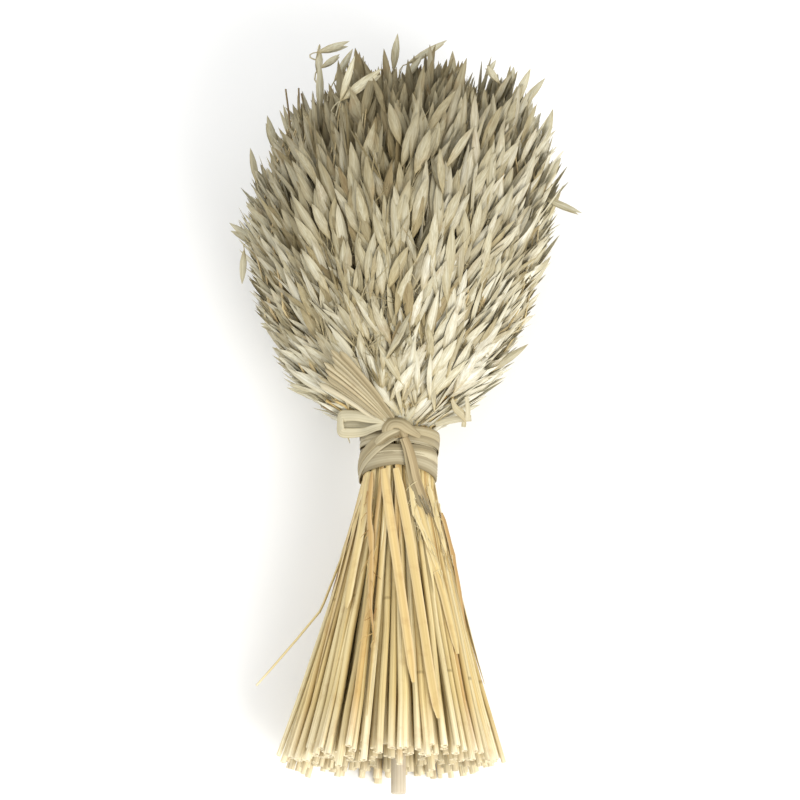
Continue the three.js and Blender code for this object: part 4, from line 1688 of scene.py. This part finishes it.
        # Hue: lower over the top, partly their own colour and partly painted shade; lower on the left and on
        # deeper layers as painted shade, higher at the sides as painted light.
        hue = hue - 0.36 * up - 0.1 * left - 0.06 * layer + 0.14 * side
        odd = rng.uniform(size=count)
        hue = np.where((odd < 0.05) & (up > 0.25), rng.uniform(0.0, 0.3, count), hue)
        front = np.clip(0.3 + surface[:, 2] / 60, 0, 1)
        # Darker over the front of the top: partly painted shade, partly the tips' own darker colour.
        light = rng.uniform(0.92, 1.0, count) - (0.09 + 0.52 * front) * up
        # Painted shade on the left and painted light at the sides.
        light = light - 0.1 * left + 0.1 * side
        # Deeper layers are darker and take on the foot's colour: warm painted shade between the spikelets.
        deep = np.interp(up, (0.1, 0.45, 0.8, 1.0), (0.4, 1.0, 1.0, 0.5))
        light = np.minimum(light, 1.0) * (1 - deep * np.choose(layer, (0.0, 0.2, 0.38)))
        warm = deep * np.choose(layer, (0.0, 0.2, 0.5)) + 0.15 * up
        return Tones(np.clip(hue, 0, 1), np.clip(light, 0.3, 1), warm)


@dataclass
class StrayStraw:
    """The one thin straw that is kinked away from the fan. Sizes are in millimetres."""

    axes: SheafAxes
    outline: Outline
    rest: Rest
    azimuth: float = 176.0
    radius: float = 0.8
    kink: float = -87.6
    end: tuple[float, float, float] = (-37.0, -45.0, 6.0)

    def build(self, effects: Effects) -> None:
        """Lays a thin hollow straw from the tie down the fan's edge and out past its kink."""
        rng = np.random.default_rng(SEED + 1)
        azimuth = math.radians(self.azimuth)
        out = outward(azimuth)
        top, middle, kink = (
            self.outline.place(1.0, azimuth, np.array(station)) + out * over
            for station, over in ((-15.0, -0.2), (-52.0, -0.8), (self.kink, 1.8))
        )
        end = kink + self.end
        sag, near = 0.6 * end + 0.4 * kink + (0.4, 0, 0), 0.12 * end + 0.88 * kink
        points = [end, sag, near, kink + (0.5, 3, 0), middle, top]
        pattern = StrawShape(sides=6, joint=48.0, bore=2.0).pattern()
        width = taper((0, 0.5, 1), (0.8, 1.0, 1.1), self.radius)
        batch = Batch(self.axes, self.rest, rng)
        laid = Spines(np.array([points]), UP[None]).lay(pattern, width)
        batch.add(pattern, laid, Tones.single(0.8, 0.97))
        obj = batch.piece("stray_straw_bent", STRAW.material(effects))
        fasten(obj, "stray_straw")
        LOG.info("stray straw: %s", obj.name)


# ---------------------------------------------------------------------------------------------
# Stick and tie
# ---------------------------------------------------------------------------------------------


@dataclass(frozen=True)
class Ribbon:
    """A strip of the tie as it is laid. Sizes are in millimetres.

    Attributes:
        points: the places that its middle passes through.
        facing: the way that its outer side looks at each of them.
        widths: shares of its length, and its width at each.
        tones: its colouring.
    """

    points: np.ndarray
    facing: np.ndarray
    widths: tuple[tuple[float, ...], tuple[float, ...]]
    tones: Tones

    def add_to(self, batch: Batch, blade: Pattern) -> None:
        """Lays the strip's blade along its path."""
        spines = Spines(self.points[None], self.facing[None])
        batch.add(blade, spines.lay(blade, taper(*self.widths)), self.tones)


@dataclass
class Tie:
    """The strips of leaf that bind the sheaf: bands, the strip over them, knot and loose ends.

    Attributes:
        axes: the sheaf's frame.
        outline: how far out the stalks reach.
        rest: the surface that the sheaf lies on.
        knot_station: the knot's station.
        crease: the sharpest fold in degrees that is shaded smooth.
        rng: where the strips' small differences come from.
    """

    axes: SheafAxes
    outline: Outline
    rest: Rest
    knot_station: float = 9.5
    crease: float = 50.0
    rng: np.random.Generator = field(default_factory=lambda: np.random.default_rng(SEED + 2))

    def build(self, effects: Effects) -> None:
        """Makes all the strips."""
        materials = {finish.slot: finish.material(effects) for finish in (TIE, LEAF)}
        strips = {
            "tie_lower_band": (self._lower_band, TIE.slot),
            "tie_upper_band": (self._upper_band, TIE.slot),
            "tie_over_wrap": (self._over_wrap, TIE.slot),
            "tie_knot": (self._knot, TIE.slot),
            "tie_tail": (self._tail, TIE.slot),
            "tie_fan": (self._fan, TIE.slot),
            "leaf_fold_left": (self._left_leaf, LEAF.slot),
            "leaf_fold_right": (self._right_leaf, LEAF.slot),
        }
        for node, (strip, slot) in strips.items():
            obj = strip().piece(f"{node}_leaf", materials[slot], self.crease)
            fasten(obj, node)
            LOG.info("tie: %s, %d faces", obj.name, len(obj.data.polygons))

    def _batch(self) -> Batch:
        """An empty batch."""
        return Batch(self.axes, self.rest, self.rng)

    def _around(self, azimuths: np.ndarray, stations: np.ndarray, over: np.ndarray | float) -> tuple:
        """Places round the waist, a distance over its stalks, and the ways that they face."""
        azimuths = np.radians(azimuths)
        facing = np.stack((np.cos(azimuths), np.zeros_like(azimuths), np.sin(azimuths)), -1)
        over = np.broadcast_to(over, azimuths.shape)
        return self.outline.place(1.0, azimuths, stations) + facing * over[:, None], facing

    def _winding(self) -> tuple[np.ndarray, np.ndarray, Pattern]:
        """The azimuths of a turn round the waist, how far right each one is, and a band's blade."""
        azimuths = np.linspace(-100, 268, 33)
        right = np.clip(np.cos(np.radians(azimuths - 10)), 0, 1)
        blade = BladeShape(columns=18, rows=96, pleat=0.01, cup=0.03, wall=0.05)
        return azimuths, right, blade.pattern()

    def _lower_band(self) -> Batch:
        """The broad lower band: a ribbed strip wound round the waist, with a narrow one over it."""
        batch = self._batch()
        azimuths, right, blade = self._winding()
        front = np.clip(np.cos(np.radians(azimuths - 95)), 0, 1) ** 1.5
        stations = -5.4 + 2.6 * front - 0.6 * right + 0.3 * np.sin(azimuths / 23)
        for along, over, widths, hue, light in (
            (stations, 1.2, (15.0, 16.4, 11.4, 15.5, 15.0), 0.88, 1.0),
            (stations + 3.0 - 1.5 * front, 1.9 - 0.3 * front, (6.0, 7.0, 4.5, 6.0, 6.0), 0.7, 0.97),
        ):
            points, facing = self._around(azimuths, along, over)
            strip = Ribbon(points, facing, ((0, 0.3, 0.52, 0.75, 1), widths), Tones.single(hue, light))
            strip.add_to(batch, blade)
        return batch

    def _upper_band(self) -> Batch:
        """The upper band: three narrower ribbed strips side by side."""
        batch = self._batch()
        azimuths, right, blade = self._winding()
        strips = ((0.0, 1.3, 8.6, 0.68), (2.4, 1.9, 4.0, 0.55), (-2.6, 1.8, 3.4, 0.8))
        for shift, over, wide, hue in strips:
            stations = 8.2 + shift - 0.8 * right + 0.5 * np.sin(azimuths / 31 + shift)
            points, facing = self._around(azimuths, stations, over)
            widths = ((0, 0.3, 0.6, 1), (wide, wide, 0.72 * wide, wide))
            Ribbon(points, facing, widths, Tones.single(hue, 0.95)).add_to(batch, blade)
        return batch

    def _over_wrap(self) -> Batch:
        """The ribbed strip over both bands: knot, down to the left, round the back, up to the knot."""
        batch = self._batch()
        blade = BladeShape(columns=12, rows=90, pleat=0.022, cup=0.04, wall=0.07).pattern()
        azimuths = np.linspace(90, 436, 30)
        turn = (90, 125, 180, 215, 300, 360, 410, 436)
        stations = np.interp(azimuths, turn, (9.5, 2.5, -9.8, -9.0, -2.0, 7.4, 8.8, 9.2))
        near = np.interp(azimuths, (90, 135, 250, 330, 436), (1.2, 0.0, 0.0, 0.4, 1.0))
        for shift, over, hue in ((-2.2, 2.0, 0.78), (2.0, 2.5, 0.58)):
            narrowing = np.interp(azimuths, (90, 130, 380, 436), (0.7, 1.0, 1.0, 0.8))
            points, facing = self._around(azimuths, stations + shift * narrowing, over + near)
            widths = ((0, 0.12, 0.27, 0.6, 0.8, 1), (4.0, 5.2, 6.4, 5.8, 5.6, 4.4))
            Ribbon(points, facing, widths, Tones.single(hue, 0.97)).add_to(batch, blade)
        return batch

    def _knot(self) -> Batch:
        """The knot: a turn of leaf pulled over the strip and down to the right."""
        batch = self._batch()
        blade = BladeShape(columns=8, rows=28, pleat=0.03, cup=0.2, wall=0.16).pattern()
        base, middle = self.knot_station, self.outline.waist + 4.2
        # From the left side of the knot over its top, and down to the upper band's right.
        over = [(-4.4, -3.4, -0.6), (-6.2, 0.4, 1.8), (-3.6, 3.6, 3.6)]
        over += [(1.2, 3.4, 4.4), (5.8, 0.6, 3.6), (12.0, -2.4, 0.6)]
        # Up from the lower left, and in under that turn.
        under = [(-12.5, -6.4, -0.6), (-7.5, -3.2, 1.4), (-2.4, -1.0, 2.6), (2.6, 1.4, 1.4)]
        # Behind both, out to the upper left where the fan starts.
        behind = [(-5.5, 7.4, -0.6), (-2.5, 4.4, 1.5), (0.8, 1.8, 2.2), (3.2, -1.6, 2.2), (3.8, -5.6, 0.4)]
        turns = ((over, 6.0, 0.5), (under, 5.0, 0.66), (behind, 4.4, 0.42))
        for path, wide, hue in turns:
            offsets = np.array(path)
            points = offsets + (0.0, base, middle)
            points[:, 2] -= (points[:, 0] ** 2) / 46
            facing = np.tile(UP, (len(points), 1)) + offsets * (0.03, 0.05, 0.0)
            widths = ((0, 0.2, 0.75, 1), (0.5 * wide, wide, wide, 0.4 * wide))
            Ribbon(points, unit(facing), widths, Tones.single(hue, 0.96)).add_to(batch, blade)
        core = Workpiece(bpy.ops.mesh.primitive_uv_sphere_add, segments=12, ring_count=8, radius=1.0)
        core.pick(lambda at: True).stretch(5.2, 2.2, 4.2)
        core.pick(lambda at: at.z > 1.0).stretch(0.8, 1.1, 1.0)
        pattern = core.cast()
        where = pattern.points[:, [0, 2, 1]] + (-0.5, base, middle + 0.8)
        batch.add(pattern, where[None], Tones.single(0.3, 0.7))
        return batch

    def _tail(self) -> Batch:
        """The two strands that hang from the knot over the straws, frayed at their ends."""
        batch = self._batch()
        blade = BladeShape(columns=8, rows=40, pleat=0.03, cup=0.08, wall=0.1).pattern()
        base = self.outline.waist
        wide = [(82, 5.5, 6.2), (76, 0.0, 4.9), (70, -8.0, 4.0)]
        wide += [(64, -17.0, 2.6), (57, -27.0, 1.8), (51, -37.0, 1.4)]
        slim = [(86, 5.0, 5.6), (81, -1.0, 4.4), (77, -9.0, 3.2)]
        slim += [(73, -18.0, 2.4), (67, -27.0, 1.8), (61, -34.0, 1.5)]
        for path, widths, hue in (
            (wide, ((0, 0.3, 0.8, 1), (3.4, 4.6, 5.2, 3.6)), 0.34),
            (slim, ((0, 0.4, 0.9, 1), (2.2, 2.6, 2.2, 0.8)), 0.6),
        ):
            azimuths, stations, over = np.array(path, dtype=float).T
            points, facing = self._around(azimuths, stations, over)
            Ribbon(points, facing, widths, Tones.single(hue, 0.93)).add_to(batch, blade)
        fibre = StemShape(sides=3, loops=3).pattern()
        for number in range(16):
            azimuths = np.array((57.0, 52.0, 48.0)) + self.rng.uniform(-5, 9) + self.rng.normal(0, 1, 3)
            stations = np.array((-28.0, -34.0, -39.0)) + self.rng.uniform(-1, 4)
            over = np.array((1.9, 1.8, 1.6)) + self.rng.uniform(0, 0.8, 3)
            points, _ = self._around(azimuths, stations, over)
            laid = Spines(points[None], UP[None]).lay(fibre, taper((0, 1), (0.3, 0.12)))
            batch.add(fibre, laid, Tones.single(self.rng.uniform(0.2, 0.9), 0.95))
        return batch

    def _fan(self) -> Batch:
        """The long end of the tie, split into narrow strips that open over the ears."""
        batch = self._batch()
        strips = 9
        blade = BladeShape(columns=4, rows=26, pleat=0.0, cup=0.28, wall=0.12).pattern()
        for number in range(strips):
            side = number / (strips - 1) * 2 - 1
            path = []
            for t in (0.0, 0.12, 0.3, 0.5, 0.75, 1.0):
                reach = t * (1 + 0.06 * math.sin(2.1 * number))
                spread = side * (1.6 + 7.2 * t ** 0.8)
                x = -2.5 - 37.0 * reach + 0.55 * spread
                station = 13.5 + 29.0 * reach + 0.83 * spread
                lift = np.interp(t, (0, 0.12, 0.3, 1), (6.0, 7.0, 6.4, 5.6))
                lift = lift + 0.5 * math.sin(3 * t + 1.7 * number)
                path.append((x, station, lift))
            points = self.outline.drape(path)
            facing = np.tile(UP, (len(points), 1)) + self.rng.normal(0, 0.28, 3)
            wide = self.rng.uniform(2.2, 2.9)
            widths = ((0, 0.2, 0.8, 0.93, 1), (0.5 * wide, 0.75 * wide, wide, 1.25 * wide, 0.3 * wide))
            hue = float(np.clip(self.rng.normal(0.62, 0.15), 0, 1))
            tones = Tones.single(hue, self.rng.uniform(0.88, 1.0))
            Ribbon(points, unit(facing), widths, tones).add_to(batch, blade)
        return batch

    def _left_leaf(self) -> Batch:
        """Runs out to the left, is folded over, and comes back over the upper edge of the tie."""
        batch = self._batch()
        blade = BladeShape(columns=8, rows=48, pleat=0.02, cup=0.1, wall=0.1).pattern()
        path = [(-3, 13.0, 6.0), (-10, 15.6, 8.0), (-17, 17.6, 8.6), (-24, 19.2, 8.6)]
        path += [(-30, 20.2, 7.6), (-32.4, 19.4, 6.6), (-32.6, 15.0, 5.6), (-31.8, 11.8, 5.2)]
        path += [(-28, 11.0, 5.6), (-20, 11.4, 6.8), (-12, 12.0, 7.0), (-4, 12.4, 6.0)]
        points = self.outline.drape(path)
        facing = np.tile((0.0, -0.3, 1.0), (len(points), 1))
        facing[5:8] = (-0.6, 0.0, 0.8)
        widths = ((0, 0.15, 0.4, 0.5, 0.62, 0.8, 1), (2.4, 5.2, 6.4, 4.6, 5.8, 5.0, 2.6))
        Ribbon(points, unit(facing), widths, Tones.single(0.6, 0.95)).add_to(batch, blade)
        path = [(-4, 12.8, 4.6), (-12, 14.2, 5.2), (-22, 15.4, 5.2), (-31, 15.4, 4.4)]
        points = self.outline.drape(path)
        facing = np.tile(UP, (len(points), 1))
        widths = ((0, 0.3, 0.9, 1), (2.0, 4.6, 6.0, 5.0))
        Ribbon(points, facing, widths, Tones.single(0.66, 0.98)).add_to(batch, blade)
        tip = self.outline.drape([(-29.5, 12.4, 3.4), (-28.6, 9.5, 2.6), (-27.4, 6.0, 2.0)])
        tip[:, 2] = tip[0, 2] - (0.0, 1.0, 2.4)
        facing = np.tile(UP, (len(tip), 1))
        Ribbon(tip, facing, ((0, 1), (1.8, 0.3)), Tones.single(0.5)).add_to(batch, blade)
        return batch

    def _right_leaf(self) -> Batch:
        """Runs out to the right, and is folded up against the ears."""
        batch = self._batch()
        blade = BladeShape(columns=8, rows=30, pleat=0.02, cup=0.06, wall=0.14).pattern()
        flat = [(21, 16.6, 2.0), (27, 18.2, 2.6), (34, 19.4, 2.6), (41.2, 19.8, 3.0)]
        upright = [(39.0, 18.6, 3.4), (39.2, 22.0, 4.4), (39.0, 26.0, 6.0), (38.2, 30.0, 7.0)]
        folded = [(38.6, 19.2, 3.0), (35.5, 21.8, 4.6), (32.0, 24.6, 6.0), (30.0, 27.0, 6.0)]
        tab = [(37.2, 19.4, 2.0), (37.0, 17.2, 1.7), (36.8, 15.4, 1.4)]
        for path, wide, hue in (
            (flat, (2.6, 3.6, 3.4), 0.7),
            (upright, (3.0, 2.8, 1.8), 0.7),
            (folded, (4.2, 4.6, 2.0), 0.45),
            (tab, (2.6, 2.6, 2.4), 0.6),
        ):
            points = self.outline.drape(path)
            facing = unit(np.tile((0.25, -0.1, 1.0), (len(points), 1)))
            Ribbon(points, facing, ((0, 0.5, 1), wide), Tones.single(hue, 1.0)).add_to(batch, blade)
        return batch


@dataclass
class Stick:
    """The round wooden stick in the middle of the sheaf. Sizes are in millimetres."""

    axes: SheafAxes
    rest: Rest
    radius: float = 4.1
    foot: float = -192.0
    top: float = 44.0

    def build(self, effects: Effects) -> None:
        """Turns a cylinder with its foot end slightly narrowed."""
        piece = Workpiece.cylinder(24, self.top - self.foot, self.radius)
        piece.slice([0.7, 6.0, 40.0, 110.0, 180.0])
        piece.pick(lambda at: at.z < 0.1).stretch(0.9, 0.9)
        pattern = piece.cast()
        rng = np.random.default_rng(SEED)
        line = np.array([[(0.0, self.foot, 0.0), (0.0, 0.0, 0.0), (0.0, self.top, 0.0)]])
        batch = Batch(self.axes, self.rest, rng)
        laid = Spines(line, UP[None]).lay(pattern, np.ones_like)
        batch.add(pattern, laid, Tones.single(0.6, 0.9))
        obj = batch.piece("centre_stick_wood", STICK.material(effects), 40.0)
        fasten(obj, "centre_stick")
        LOG.info("stick: %s", obj.name)


# ---------------------------------------------------------------------------------------------
# Stage
# ---------------------------------------------------------------------------------------------


@dataclass(frozen=True)
class Studio:
    """The pale floor, the soft lights and the camera.

    Attributes:
        lens: the camera's focal length, in millimetres.
        distance: from the camera to what it looks at, in metres.
        elevation: the camera's height over the horizon, in degrees.
        aim: what it looks at, in metres in the row's frame.
    """

    lens: float = 200.0
    distance: float = 2.52
    elevation: float = 73.0
    aim: tuple[float, float, float] = (-0.0006, 0.006, 0.075)

    def build(self) -> None:
        """Sets up the floor, the lights, the surroundings and the camera."""
        self._floor()
        self._light("key", (0.8, -1.0, 1.2), 1.0, 25.0, (1.0, 0.985, 0.96))
        self._light("fill", (-1.1, 0.3, 1.3), 1.4, 8.5, (0.96, 0.98, 1.0))
        world = bpy.data.worlds.new("studio")
        bpy.context.scene.world = world
        world.use_nodes = True
        world.node_tree.nodes["Background"].inputs[0].default_value = (1.0, 1.0, 1.0, 1.0)
        world.node_tree.nodes["Background"].inputs[1].default_value = 0.95
        self._camera()
        bpy.context.scene.view_settings.view_transform = "Standard"

    def _floor(self) -> None:
        """A wide plain floor."""
        bpy.ops.object.select_all(action="DESELECT")
        bpy.ops.mesh.primitive_plane_add(size=8.0)
        floor = bpy.context.active_object
        floor.name = "floor"
        material = bpy.data.materials.new("pale floor")
        material.use_nodes = True
        shader = material.node_tree.nodes["Principled BSDF"]
        shader.inputs["Base Color"].default_value = (0.9, 0.9, 0.89, 1.0)
        shader.inputs["Roughness"].default_value = 0.9
        shader.inputs["Specular IOR Level"].default_value = 0.1
        floor.data.materials.append(material)

    def _light(self, name: str, place: tuple, size: float, power: float, colour: Colour) -> None:
        """A square soft light that looks at the sheaf."""
        lamp = bpy.data.lights.new(name, "AREA")
        lamp.size, lamp.energy, lamp.color = size, power, colour
        obj = bpy.data.objects.new(name, lamp)
        bpy.context.collection.objects.link(obj)
        obj.location = place
        toward = Vector(self.aim) - Vector(place)
        obj.rotation_euler = toward.to_track_quat("-Z", "Y").to_euler()

    def _camera(self) -> None:
        """The camera, which looks down on the sheaf from the side of its cut ends."""
        camera = bpy.data.cameras.new("camera")
        camera.lens = self.lens
        obj = bpy.data.objects.new("camera", camera)
        bpy.context.collection.objects.link(obj)
        rise = math.radians(self.elevation)
        back = Vector((0.0, -math.cos(rise), math.sin(rise)))
        obj.location = Vector(self.aim) + back * self.distance
        obj.rotation_euler = (-back).to_track_quat("-Z", "Y").to_euler()
        bpy.context.scene.camera = obj


def main() -> None:
    """Builds the sheaf on its frame."""
    logging.basicConfig(level=logging.INFO, format="%(message)s")
    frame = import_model()
    nodes = frame["nodes"]
    axes = SheafAxes.measure(nodes)
    rest, effects = Rest(), Effects()
    Studio().build()
    Stalks(axes, Outline(), rest).build(nodes, effects)
    StrayStraw(axes, Outline(), rest).build(effects)
    Stick(axes, rest).build(effects)
    Tie(axes, Outline(), rest).build(effects)


if __name__ == "__main__":
    main()
